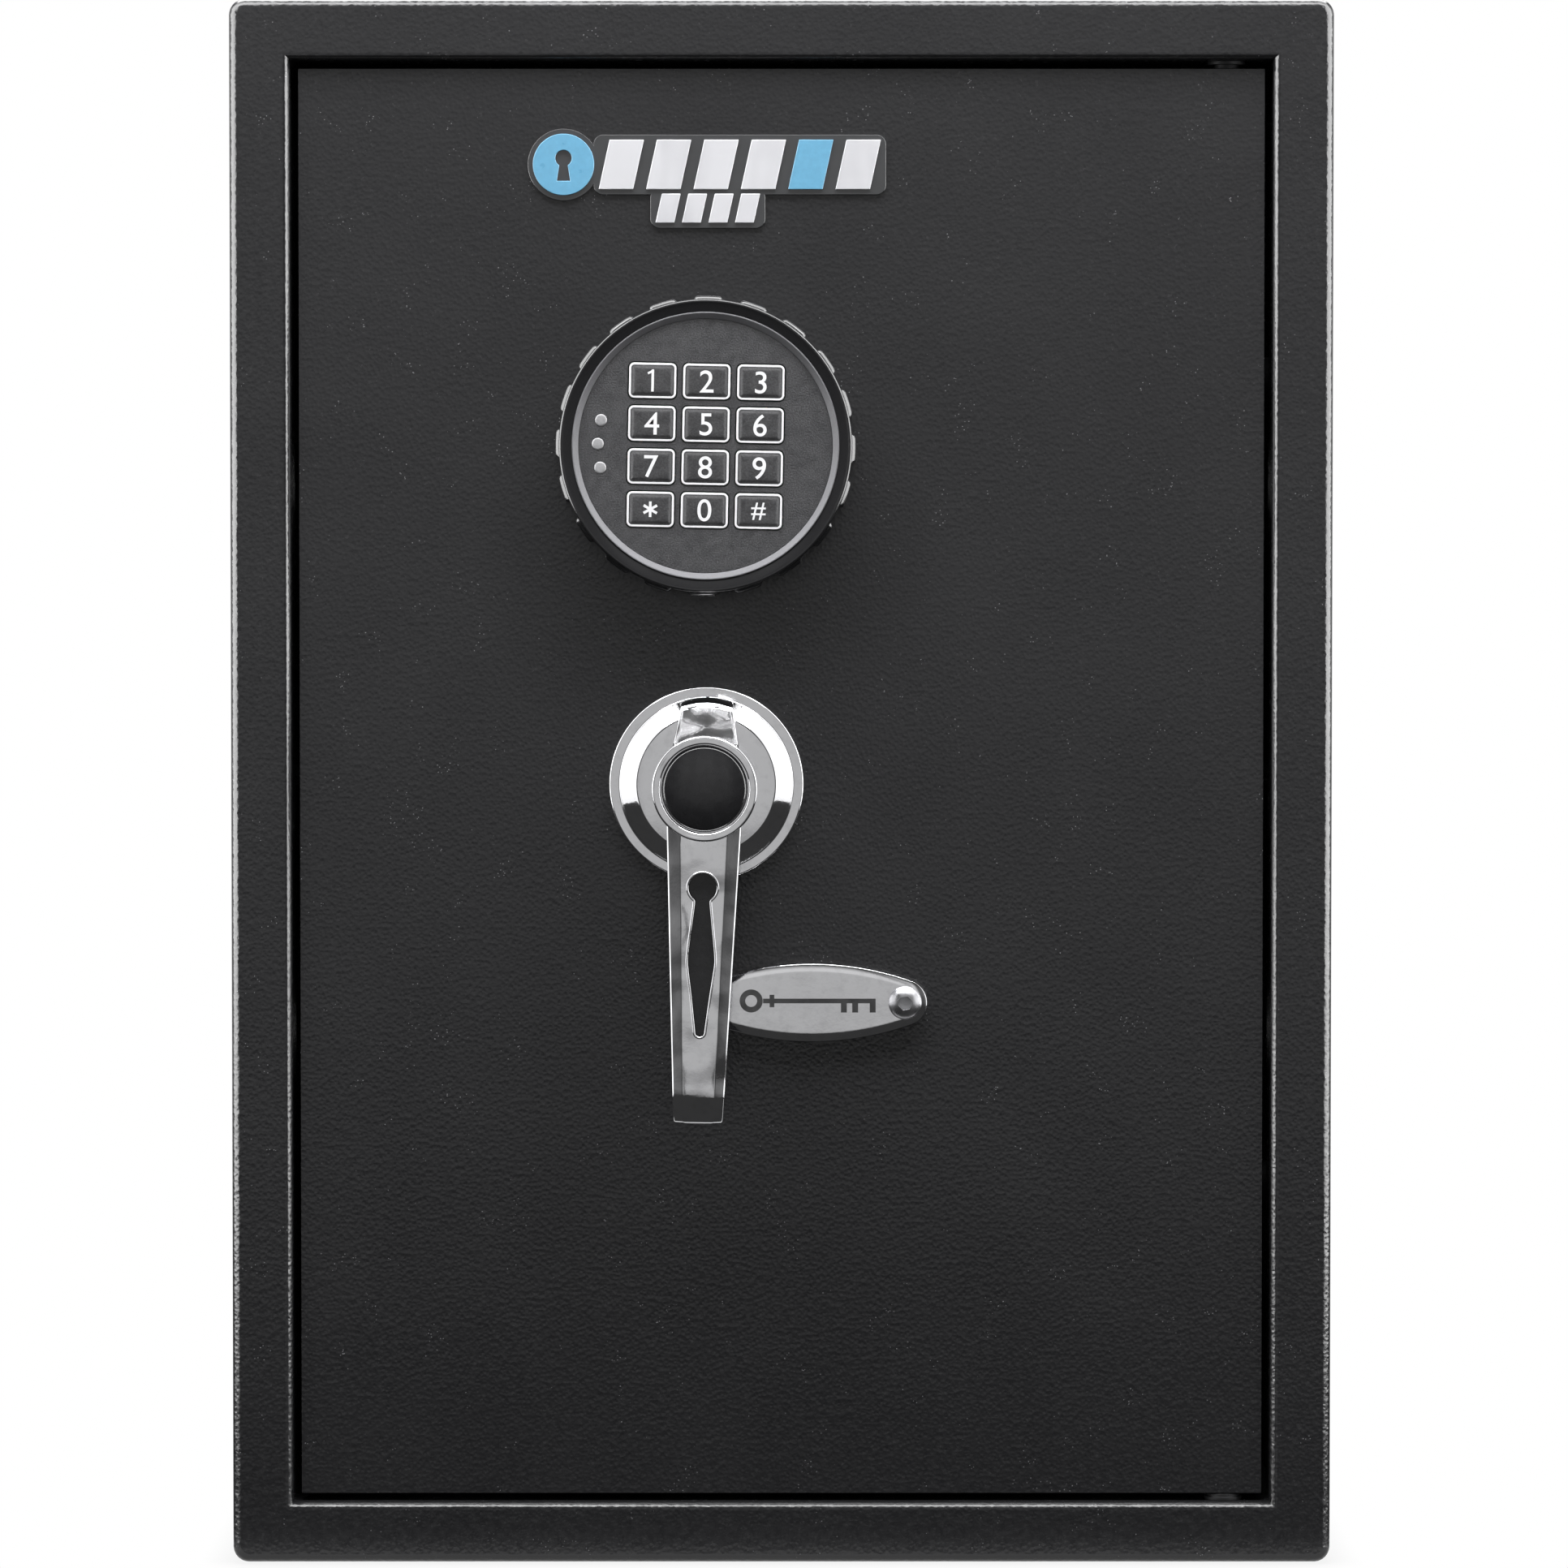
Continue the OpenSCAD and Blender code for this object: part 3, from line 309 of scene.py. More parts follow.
FINISHES = {
    "powder_coat": powder_coat(),
    "inner_coat": satin_paint(),
    "bright_chrome": chrome("bright_chrome", 0.10),
    "lever_chrome": chrome("lever_chrome", 0.8),
    "trim_chrome": plastic(
        "trim_chrome", (0.18, 0.18, 0.19), 0.45, 0.5, 0.01, 1.1, Specular_IOR_Level=0.12),
    "black_steel": plastic(
        "black_steel", (0.006, 0.006, 0.0065), 0.6, 0.5, 0.01, 1.3, Specular_IOR_Level=0.1),
    "zinc_steel": steel("zinc_steel", (0.56, 0.57, 0.58), 0.34, (1, 1, 6)),
    "bolt_chrome": steel("bolt_chrome", (0.80, 0.80, 0.82), 0.14, (6, 1, 1)),
    "screw_chrome": steel("screw_chrome", (0.55, 0.55, 0.57), 0.3),
    "bronze": steel("bronze", (0.58, 0.40, 0.19), 0.42),
    "brass": steel("brass", (0.72, 0.55, 0.28), 0.28),
    "housing_plastic": plastic("housing_plastic", (0.015, 0.015, 0.016), 0.11, 0.5, 0.004, 1.2),
    "face_plastic": plastic(
        "face_plastic", (0.017, 0.017, 0.0185), 0.5, 0.5, 0.16, 2.8, Specular_IOR_Level=0.32),
    "key_plastic": plastic(
        "key_plastic", (0.019, 0.019, 0.0205), 0.5, 0.5, 0.09, 2.1, Specular_IOR_Level=0.3),
    "cap_plastic": plastic("cap_plastic", (0.012, 0.012, 0.013), 0.16, 2.5, 0.02, 1.3),
    "led_lens": lens(),
    "felt": felt(),
    "board_green": circuit_board(),
    "loom_sleeve": braided_sleeve(),
    "cell_wrap": cell_wrap(),
    "coil_paint": plastic("coil_paint", (0.05, 0.05, 0.055), 0.4, 0.8, 0.03),
    "button_red": plastic("button_red", (0.40, 0.012, 0.012), 0.3, 0.6, 0.02),
    "badge_dark": plastic("badge_dark", (0.030, 0.031, 0.033), 0.12, 6.0, 0.02, 1.1, Coat_Weight=1.0),
    "badge_blue": plastic("badge_blue", (0.115, 0.33, 0.50), 0.32, 1.5, 0.01, 1.08, Coat_Weight=0.3),
    "badge_silver": badge_silver(),
}
PRINT_WHITE = plastic("print_white", (0.80, 0.80, 0.82), 0.45, 0.3, 0.01, 1.05)
ENGRAVED_BLACK = plastic("engraved_black", (0.012, 0.012, 0.013), 0.5, 0.3, 0.02)
# The lever's chrome, and the black that lines its keyhole: painted shade for the slot's dark depth
LEVER_SKINS = [FINISHES["lever_chrome"], FINISHES["cap_plastic"]]


# ---- mesh tools ----

def arc(x, y, radius, start, end, steps):
    """Points on a circle from one angle to another, in degrees, both ends included."""
    angles = [math.radians(start + (end - start) * i / steps) for i in range(steps + 1)]
    return [(x + radius * math.cos(a), y + radius * math.sin(a)) for a in angles]


def rounded_rectangle(width, height, radius, steps=6):
    corners = ((1, 1, 0), (-1, 1, 90), (-1, -1, 180), (1, -1, 270))
    outline = []
    for side_u, side_v, start in corners:
        u = side_u * (width / 2 - radius)
        v = side_v * (height / 2 - radius)
        outline += arc(u, v, radius, start, start + 90, steps)
    return outline


def bridge(bm, first, second, material):
    """Faces between two rings of vertices; a ring of one vertex is a pole."""
    count = max(len(first), len(second))
    for i in range(count):
        j = (i + 1) % count
        a, b = first[i % len(first)], first[j % len(first)]
        c, d = second[j % len(second)], second[i % len(second)]
        corners = list(dict.fromkeys((a, b, c, d)))
        bm.faces.new(corners).material_index = material


def loft(bm, rings, materials=0, closed=False, ends=True):
    """Joins rings of points, given in order, into one skin.
    materials is one index, or one for each gap between rings."""
    made = [[bm.verts.new(point) for point in ring] for ring in rings]
    gaps = list(zip(made, made[1:]))
    if closed:
        gaps.append((made[-1], made[0]))
    for i, (first, second) in enumerate(gaps):
        bridge(bm, first, second, materials if isinstance(materials, int) else materials[i])
    if ends and not closed:
        for ring in (made[0], made[-1]):
            if len(ring) > 2:
                bm.faces.new(ring).material_index = materials if isinstance(materials, int) else 0


def turned(bm, middle, outline, steps, closed=False):
    """Turns an outline of (radius, out) points about the Y line through middle."""
    angles = [2 * math.pi * i / steps for i in range(steps)]
    rings = []
    for radius, out in outline:
        turn = angles if radius else [0]
        rings.append([Vector((middle.x + radius * math.cos(a), DOOR_FACE - out,
                              middle.z + radius * math.sin(a))) for a in turn])
    loft(bm, rings, closed=closed, ends=False)


def to_object(name, bm, materials):
    bmesh.ops.recalc_face_normals(bm, faces=bm.faces)
    mesh = bpy.data.meshes.new(name)
    bm.to_mesh(mesh)
    bm.free()
    for material in materials:
        mesh.materials.append(material)
    obj = bpy.data.objects.new(name, mesh)
    bpy.context.scene.collection.objects.link(obj)
    return obj


def carve(obj, tool, operation="DIFFERENCE"):
    """Applies a boolean with tool to obj, and removes tool."""
    modifier = obj.modifiers.new("carve", "BOOLEAN")
    modifier.operation = operation
    modifier.object = tool
    modifier.solver = "EXACT"
    modifier.material_mode = "TRANSFER"
    bpy.context.view_layer.update()
    evaluated = obj.evaluated_get(bpy.context.evaluated_depsgraph_get())
    result = bpy.data.meshes.new_from_object(evaluated)
    obj.modifiers.clear()
    obj.data = result
    bpy.data.objects.remove(tool)


def shade(obj, sharp=38):
    """Smooth shading that leaves flat faces flat."""
    obj.data.shade_smooth()
    obj.data.set_sharp_from_angle(angle=math.radians(sharp))
    weighted = obj.modifiers.new("weighted_normals", "WEIGHTED_NORMAL")
    weighted.keep_sharp = True


def settle(obj, body, slot, *nodes, sharp=38):
    """Shades a finished piece, puts it on its body and hides the CAD nodes that it stands for; its slot is not
    used.
    """
    shade(obj, sharp)
    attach(obj, body)
    if nodes:
        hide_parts(*nodes)


def round_edges(obj, width):
    bevel = obj.modifiers.new("edge", "BEVEL")
    bevel.width = width
    bevel.segments = 2
    bevel.limit_method = "ANGLE"
    bevel.angle_limit = math.radians(35)
    bevel.use_clamp_overlap = True


# ---- CAD nodes that stay: their finish, and rounded edges where they are square ----

# Widths of the rounding, in mm
EDGES = {
    "door_plate": 0.9, "door_inner_cover": 0.6, "case_shell": 0.5, "front_frame": 0.4, "back_panel": 0.5,
    "shelf": 0.4, "shelf_mat": 0.4, "floor_mat": 0.5, "shelf_brackets": 0.3, "battery_tray": 0.35,
    "battery_cover": 0.4, "dead_bolts": 0.6, "bolt_carrier": 0.3, "bolt_guides": 0.4, "solenoid_body": 0.4,
    "badge_backing": 0.35, "badge_emblem": 0.2, "badge_bars": 0.22, "keypad_face": 0.12,
    "reset_button": 0.4, "cover_screws": 0.15, "battery_cells": 0.4, "control_board": 0.15,
    "key_cover_screw": 0.1, "hinge_pins": 0.3, "keypad_base": 0.3, "crank": 0.3, "override_cam": 0.3,
}
PLAIN_EDGE = 0.2
ROUND_NODES = ("wiring_loom", "locking_bolts")


def finish_frame():
    """Each CAD node gets its finish. All but the round ones also get rounded edges, once the triangles
    of their flat faces are joined again."""
    for part in frame["record"]["subparts"]:
        node = part["node"]
        obj = frame["nodes"][node]
        obj.data.materials.clear()
        obj.data.materials.append(FINISHES[part["material_slot"]])
        if node in ROUND_NODES:
            continue
        weld = obj.modifiers.new("weld", "WELD")
        weld.merge_threshold = 0.002 * MM
        flat = obj.modifiers.new("flat", "DECIMATE")
        flat.decimate_type = "DISSOLVE"
        flat.angle_limit = math.radians(0.5)
        round_edges(obj, EDGES.get(node, PLAIN_EDGE) * MM)
        shade(obj)


# ---- keypad ----

def keypad_housing():
    """The cup: a turned section whose side carries twenty rounded grip lugs."""
    height = DOOR_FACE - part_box("keypad_housing")[0].y
    side, bore = 46.4 * MM, 42.3 * MM
    lugs, steps, lug_height = 20, 22, 1.2 * MM
    flat_half, foot_half = 4.6, 6.0
    # Radius, distance back from the front rim, and how much of the lug stands there
    section = [
        (side, height, 1), (side, 3.0 * MM, 1), (side, 2.3 * MM, 0.85), (side, 1.9 * MM, 0.45),
        (side, 1.7 * MM, 0), (side, 0.9 * MM, 0), (side - 0.10 * MM, 0.45 * MM, 0),
        (side - 0.34 * MM, 0.14 * MM, 0), (side - 0.75 * MM, 0, 0), (side - 1.1 * MM, 0.05 * MM, 0),
        (side - 1.5 * MM, 0.3 * MM, 0), (bore + 0.6 * MM, 0.62 * MM, 0), (bore + 0.1 * MM, 0.8 * MM, 0),
        (bore, 1.2 * MM, 0), (bore, height, 0),
    ]
    rings = []
    for radius, back, share in section:
        ring = []
        for i in range(lugs * steps):
            angle = 360 * i / (lugs * steps)
            away = abs((angle + 180 / lugs) % (360 / lugs) - 180 / lugs)
            slope = min(max((foot_half - away) / (foot_half - flat_half), 0), 1)
            r = radius + lug_height * share * slope * slope * (3 - 2 * slope)
            turn = math.radians(angle)
            ring.append(on_keypad(r * math.sin(turn), r * math.cos(turn), height - back))
        rings.append(ring)
    bm = bmesh.new()
    loft(bm, rings, closed=True)
    obj = to_object("keypad_cup", bm, [FINISHES["housing_plastic"]])
    settle(obj, "door", "housing_plastic", "keypad_housing", sharp=50)


def keypad_trim():
    """The bright ring, bevelled inwards to the face."""
    front = DOOR_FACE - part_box("keypad_trim_ring")[0].y
    outline = [
        (42.28, -4.9), (42.28, -0.5), (42.15, -0.33), (41.9, -0.32), (40.5, -1.66),
        (40.25, -1.9), (40.22, -2.2), (40.22, -4.9),
    ]
    bm = bmesh.new()
    turned(bm, KEYPAD, [(r * MM, front + out * MM) for r, out in outline], 240, closed=True)
    obj = to_object("keypad_ring", bm, [FINISHES["trim_chrome"]])
    settle(obj, "door", "trim_chrome", "keypad_trim_ring")


def indicator_lenses():
    """Three shallow domes."""
    front = DOOR_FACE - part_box("indicator_leds")[0].y
    places = [(-33.2, 7.5), (-34.1, 0), (-33.2, -7.5)]
    # Radius, and depth behind the dome's crown
    dome = [(0, 0), (0.8, 0.01), (1.4, 0.04), (1.8, 0.12), (1.95, 0.35), (1.95, 4), (0, 4)]
    bm = bmesh.new()
    for u, v in places:
        middle = on_keypad(u * MM, v * MM, 0)
        turned(bm, middle, [(r * MM, front - depth * MM) for r, depth in dome], 40)
    obj = to_object("indicator_lenses", bm, [FINISHES["led_lens"]])
    settle(obj, "door", "led_lens", "indicator_leds", sharp=50)


def glyph_outline(text):
    """The mesh of one character of Blender's own typeface: its points, centred, and its faces."""
    curve = bpy.data.curves.new("glyph", "FONT")
    curve.body = text
    # A little bolder than the typeface
    curve.offset = 0.004
    obj = bpy.data.objects.new("glyph", curve)
    bpy.context.scene.collection.objects.link(obj)
    bpy.context.view_layer.update()
    mesh = bpy.data.meshes.new_from_object(obj.evaluated_get(bpy.context.evaluated_depsgraph_get()))
    points = [(v.co.x, v.co.y) for v in mesh.vertices]
    faces = [list(p.vertices) for p in mesh.polygons]
    bpy.data.objects.remove(obj)
    us, vs = zip(*points)
    mid_u, mid_v = (min(us) + max(us)) / 2, (min(vs) + max(vs)) / 2
    height = max(vs) - min(vs)
    return [((u - mid_u) / height, (v - mid_v) / height) for u, v in points], faces


def one_outline():
    """A one with a flag, as points and faces in units of its height."""
    points = [(0.06, -0.5), (0.06, 0.5), (-0.03, 0.5), (-0.08, 0.44), (-0.24, 0.36)]
    points += [(-0.20, 0.27), (-0.055, 0.34), (-0.055, -0.5)]
    return points, [list(range(len(points)))]


def star_outline():
    """Six arms in one outline, in units of the star's height."""
    half, width, notch = 0.5, 0.085, 0.17
    points = []
    for turn in range(90, 450, 60):
        a = math.radians(turn)
        along = Vector((math.cos(a), math.sin(a)))
        across = Vector((-along.y, along.x))
        points.append(tuple(along * half - across * width))
        points.append(tuple(along * half + across * width))
        between = a + math.radians(30)
        points.append((notch * math.cos(between), notch * math.sin(between)))
    return points, [list(range(len(points)))]


def print_on_keypad(name, points, faces, size, u, v, out):
    """A flat print: the outline, size high, round the keypad's point (u, v), out from the door."""
    bm = bmesh.new()
    corners = [bm.verts.new(on_keypad(u + pu * size, v + pv * size, out)) for pu, pv in points]
    for face in faces:
        bm.faces.new([corners[i] for i in face])
    return to_object(name, bm, [PRINT_WHITE])


KEYS = {
    "key_1": "1", "key_2": "2", "key_3": "3", "key_4": "4", "key_5": "5", "key_6": "6",
    "key_7": "7", "key_8": "8", "key_9": "9", "key_star": "*", "key_0": "0", "key_hash": "#",
}
# Heights of the characters, in mm
GLYPH_SIZES = {"*": 4.9, "#": 5.5}
DIGIT_SIZE = 7.0
DRAWN = {"1": one_outline, "*": star_outline}


def keys():
    """Each key is a pillow inside a printed white frame, with its character printed on top."""
    pitch_u, pitch_v = 17.1 * MM, 13.55 * MM
    width, height, corner = 15 * MM, 11.25 * MM, 1.7 * MM
    print_height = 0.8 * MM
    face = DOOR_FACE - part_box("keypad_face")[0].y
    # Inset from the key's edge, and height over the plate
    steps = [
        (0, -3.0), (0, 0.26), (0.06, 0.37), (0.16, 0.40), (0.70, 0.40), (0.80, 0.37), (1.05, 0.37),
        (1.35, 0.52), (1.75, 0.68), (2.2, 0.75), (3.2, 0.775),
    ]
    materials = [0, 0, 1, 1, 0, 0, 0, 0, 0, 0]
    for i, (node, text) in enumerate(KEYS.items()):
        u, v = (i % 3 - 1) * pitch_u, (1.5 - i // 3) * pitch_v
        bm = bmesh.new()
        rings = []
        for inset, out in steps:
            inset *= MM
            radius = max(corner - inset, 0.35 * MM)
            ring = rounded_rectangle(width - 2 * inset, height - 2 * inset, radius)
            rings.append([on_keypad(u + du, v + dv, face + out * MM) for du, dv in ring])
        loft(bm, rings, materials)
        obj = to_object(node + "_cap", bm, [FINISHES["key_plastic"], PRINT_WHITE])
        outline = DRAWN[text]() if text in DRAWN else glyph_outline(text)
        size = GLYPH_SIZES.get(text, DIGIT_SIZE) * MM
        printed = print_on_keypad(node + "_print", *outline, size, u, v, face + print_height)
        settle(obj, node, "key_plastic", node, sharp=60)
        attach(printed, node)


# ---- handle ----

def rosette():
    """A stepped chrome disc: flange, step, cone and flat top."""
    outline = [(13.05, 0), (31, 0)]
    outline += arc(30.5, 3.3, 0.5, 0, 90, 5)
    outline += [(28.1, 3.8)] + arc(28.0, 4.4, 0.6, 270, 180, 4)
    outline += [(27.4, 6.2), (27.25, 6.5), (22.9, 9.78), (22.5, 10.1), (21.8, 10.4), (13.05, 10.4)]
    bm = bmesh.new()
    turned(bm, HANDLE, [(r * MM, out * MM) for r, out in outline], 240, closed=True)
    obj = to_object("rosette_disc", bm, [FINISHES["bright_chrome"]])
    settle(obj, "door", "bright_chrome", "handle_rosette", sharp=28)


# In mm: out from the door for fronts and backs, up from the hub for ends, across for halves
HUB_BACK = 11.4
HUB_FRONT = 51.0
HUB_HALF = 12.2
ARM_FRONT = 48.0
ARM_BACK = 38.0
ARM_END = -105.5
ARM_END_HALF = 7.8
TIP_BEND = -96.9
TIP_ROUNDING = 0.75
TAIL_END = 28.0
TAIL_END_HALF = 8.2


def mixed(start, end, share):
    return start + (end - start) * share


def arm_section(v):
    """Half the arm's outline at height v, from the back's middle to the front's middle."""
    along = v / ARM_END
    half = mixed(HUB_HALF, ARM_END_HALF, along)
    bevel = mixed(4.4, 3.0, along)
    drop = bevel * 0.25
    front = ARM_FRONT
    if v <= TIP_BEND:
        front = mixed(ARM_FRONT, ARM_FRONT - 5, (TIP_BEND - v) / (TIP_BEND - ARM_END))
    root_back, root_end, undercut_end = HUB_BACK + 6, -12, -26
    if v > root_end:
        back = root_back
    elif v > undercut_end:
        back = mixed(root_back, ARM_BACK, (root_end - v) / (root_end - undercut_end))
    else:
        back = ARM_BACK
    shoulder, flat = front - drop, half - bevel
    return [
        (0, back), (half - 1.0, back), (half - 0.3, back + 0.3), (half, back + 1.0),
        (half, shoulder - 0.7), (half - 0.04, shoulder - 0.5), (half - 0.13, shoulder - 0.34),
        (half - 0.3, shoulder - 0.2), (half - 0.48, shoulder - 0.12),
        (flat + 0.2, front - 0.16), (flat - 0.3, front - 0.06), (flat * 0.5, front - 0.01), (0, front),
    ]


def tail_section(v):
    """Half the tail's outline at height v: it slopes back from the hub to the rosette."""
    half = mixed(HUB_HALF, TAIL_END_HALF, v / TAIL_END)
    back = HUB_BACK + 1.6
    slope_start, slope_end, brow_end = 10.5, 25.2, 26.4
    high, low, brow, foot = 46.5, 31.0, 30.3, 25.5
    if v < slope_start:
        front = high
    elif v < slope_end:
        front = mixed(high, low, (v - slope_start) / (slope_end - slope_start))
    elif v < brow_end:
        front = mixed(low, brow, (v - slope_end) / (brow_end - slope_end))
    else:
        front = mixed(brow, foot, ((v - brow_end) / (TAIL_END - brow_end)) ** 1.8)
    sag = 0.5 if v < slope_end else 0.2
    return [
        (0, back), (half - 0.9, back), (half - 0.2, back + 0.4), (half, back + 1.0), (half, front - 1.2),
        (half - 0.06, front - 0.9), (half - 0.26, front - 0.62), (half - 0.7, front - 0.38),
        (half - 1.5, front - 0.35 - sag * 0.3), (half * 0.4, front - 0.35 - sag), (0, front - 0.35 - sag),
    ]


def both_sides(half_outline):
    """A whole closed outline from its right half, whose first and last points are on the middle line."""
    return half_outline + [(-u, out) for u, out in half_outline[-2:0:-1]]


def bar(name, sections, place):
    """A closed bar through outlines given at their heights."""
    rings = [[place(u * MM, v * MM, out * MM) for u, out in both_sides(half)] for v, half in sections]
    bm = bmesh.new()
    loft(bm, rings)
    return to_object(name, bm, LEVER_SKINS)


def slot_outline():
    """The keyhole: a round eye over a long drop with a round tip, clockwise from the neck's left."""
    eye = arc(0, -31, 4.7, 237, -57, 28)
    right = [(2.52, -36.2), (3.2, -42), (3.9, -48), (4.45, -53.5), (4.3, -56), (3.0, -65), (1.75, -75.4)]
    tip = arc(0, -76.3, 1.7, -15, -165, 8)
    left = [(-u, v) for u, v in reversed(right)]
    return softened(softened(eye + right + tip + left))


def softened(outline):
    """The outline with its corners cut, each point traded for two on the sides that meet there."""
    cut = []
    for here, after in zip(outline, outline[1:] + outline[:1]):
        for share in (0.25, 0.75):
            cut.append((mixed(here[0], after[0], share), mixed(here[1], after[1], share)))
    return cut


def offset_outline(outline, distance):
    """The outline moved outwards by distance along its own normals."""
    count = len(outline)
    moved = []
    for i in range(count):
        before, here, after = (Vector(outline[(i + k) % count]) for k in (-1, 0, 1))
        tangent = (after - here).normalized() + (here - before).normalized()
        normal = Vector((-tangent.y, tangent.x)).normalized()
        moved.append(here + normal * distance)
    return moved


def lever():
    """The chrome lever: hub, arm with a rimmed keyhole, and tail, as one casting."""
    arm_heights = [4, -8, -12, -19, -26, -40, -54, -68, -82, -94, -96.7, -97.1, -100, -103.4]
    arm_heights += [-104.8, -105.3, ARM_END]
    arm = bar("lever_body", [(v, shrunk(arm_section(v), v)) for v in arm_heights], on_lever)
    tail_heights = [-2, 10, 10.9, 14, 18, 22, 25.1, 25.4, 26.3, 26.6, 27.0, 27.5, 27.8, TAIL_END]
    tail = bar("lever_tail", [(v, tail_section(v)) for v in tail_heights], arched_tail)
    hub_outline = [(0, HUB_BACK), (16.0, HUB_BACK), (16.5, HUB_BACK + 0.5), (16.5, HUB_FRONT - 1.5)]
    hub_outline += arc(15.9, HUB_FRONT - 0.6, 0.6, 0, 90, 6)
    hub_outline += [(15.3, HUB_FRONT - 0.02), (14.8, HUB_FRONT - 0.02)]
    hub_outline += arc(14.4, HUB_FRONT - 0.4, 0.4, 90, 180, 6)
    hub_outline += [(13.95, HUB_FRONT - 1.3), (13.9, HUB_FRONT - 5), (0, HUB_FRONT - 5)]
    bm = bmesh.new()
    turned(bm, HANDLE, [(r * MM, out * MM) for r, out in hub_outline], 200)
    hub = to_object("lever_hub", bm, LEVER_SKINS)
    outline = slot_outline()
    # The keyhole's walls and floor take the black, a painted shade for the depth of the slot
    bm = bmesh.new()
    loft(bm, [[on_lever(u * MM, v * MM, out * MM) for u, v in outline]
              for out in (ARM_FRONT - 3, ARM_FRONT + 2)], 1)
    slot = to_object("lever_slot", bm, LEVER_SKINS)
    bm = bmesh.new()
    core_radius, core_back, core_front = 14.2 * MM, 20 * MM, 60 * MM
    turned(bm, HANDLE, [(0, core_back), (core_radius, core_back), (core_radius, core_front),
                        (0, core_front)], 96)
    core = to_object("lever_core", bm, [FINISHES["lever_chrome"]])
    carve(arm, slot)
    carve(arm, tail, "UNION")
    carve(arm, core)
    carve(arm, hub, "UNION")
    settle(arm, "lever", "bright_chrome", "lever_handle", sharp=32)
    bm = bmesh.new()
    # Out from the keyhole's edge, and height over the arm
    rim = [(-0.30, -0.6), (-0.28, -0.05), (-0.17, 0.09), (0.05, 0.15), (0.30, 0.14), (0.46, 0.05),
           (0.52, -0.3)]
    rings = [[on_lever(u * MM, v * MM, (ARM_FRONT + out) * MM) for u, v in offset_outline(outline, away)]
             for away, out in rim]
    loft(bm, rings, closed=True)
    ring = to_object("lever_slot_rim", bm, [FINISHES["lever_chrome"]])
    settle(ring, "lever", "bright_chrome", sharp=60)
    bm = bmesh.new()
    bore, radius, foot, top = 5.1, 13, 1.0, HUB_BACK + 1
    turned(bm, HANDLE, [(r * MM, out * MM) for r, out in
                        ((bore, foot), (radius, foot), (radius, top), (bore, top))], 96, closed=True)
    neck = to_object("lever_neck", bm, [FINISHES["lever_chrome"]])
    settle(neck, "lever", "bright_chrome")


def shrunk(section, v):
    """Rounds the arm's end: its last sections draw in towards their middle."""
    left = v - ARM_END
    if left > TIP_ROUNDING:
        return section
    pull = (TIP_ROUNDING - left) * 0.8
    outs = [out for u, out in section]
    middle = (min(outs) + max(outs)) / 2
    return [(max(u - pull, 0), out + (pull if out < middle else -pull)) for u, out in section]


def arched_tail(u, v, out):
    """On the lever, with the tail's end drawn down towards its corners into an arch."""
    start, reach, drop = 14 * MM, 14 * MM, 1.8 * MM
    share = min(max((v - start) / reach, 0), 1)
    return on_lever(u, v - drop * share * (u / (TAIL_END_HALF * MM)) ** 2, out)


def lever_cap():
    """A gloss black plug with a bright chamfer round its crown."""
    outline = [(0, -3.0), (13.5, -3.0), (13.5, -1.2), (13.45, -0.9), (12.85, -0.32), (12.6, -0.2)]
    outline += [(12.2, -0.1), (9, 0.55), (5, 0.85), (0, 0.97)]
    bm = bmesh.new()
    turned(bm, HANDLE, [(r * MM, (HUB_FRONT + out) * MM) for r, out in outline], 160)
    obj = to_object("lever_plug", bm, [FINISHES["cap_plastic"]])
    settle(obj, "lever", "cap_plastic", "lever_cap", sharp=25)


# ---- key cover ----

def lens_outline(inset):
    """The cover's outline, inset by a distance: two long arcs and two round ends that they touch."""
    half_height, side, end, end_u = 12.5, 95.85, 7.4, 29.6
    lift = side - half_height
    lean = math.degrees(math.atan2(end_u, lift))
    outline = arc(0, -lift, side - inset, 90 + lean, 90 - lean, 40)[:-1]
    outline += arc(end_u, 0, end - inset, 90 - lean, lean - 90, 24)[:-1]
    outline += arc(0, lift, side - inset, lean - 90, -lean - 90, 40)[:-1]
    outline += arc(-end_u, 0, end - inset, -90 - lean, lean - 270, 24)[:-1]
    return outline


def key_cover():
    """A pressed oval plate with softly rounded edges and a plain key engraved in it."""
    back = DOOR_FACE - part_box("key_cover")[1].y
    front = DOOR_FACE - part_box("key_cover")[0].y
    thick = (front - back) / MM
    # Inset from the edge, and height over the back
    steps = [
        (0.9, 0), (0.3, 0.08), (0, 0.4), (0, thick - 1.0), (0.05, thick - 0.75), (0.16, thick - 0.52),
        (0.32, thick - 0.42), (0.9, thick - 0.26), (1.6, thick - 0.11), (2.3, thick - 0.03), (3.0, thick),
    ]

    def place(u, v, out):
        return Vector((COVER.x + u, DOOR_FACE - back - out, COVER.z + v))

    rings = [[place(u * MM, v * MM, out * MM) for u, v in lens_outline(inset)] for inset, out in steps]
    bm = bmesh.new()
    loft(bm, rings)
    plate = to_object("key_cover_plate", bm, [FINISHES["bright_chrome"]])
    bm = bmesh.new()
    bore, low, high = 2.56 * MM, back - MM, front + MM
    turned(bm, SCREW, [(0, low), (bore, low), (bore, high), (0, high)], 48)
    hole = to_object("pivot_hole", bm, [FINISHES["bright_chrome"]])
    carve(plate, hole)
    settle(plate, "key_cover", "bright_chrome", "key_cover", sharp=30)
    bm = bmesh.new()
    for points in key_pictogram():
        rings = [[place(u * MM, v * MM, (thick + out) * MM) for u, v in points] for out in (-0.3, 0.02)]
        loft(bm, rings)
    inlay = to_object("key_cover_inlay", bm, [ENGRAVED_BLACK])
    settle(inlay, "key_cover", "bright_chrome")


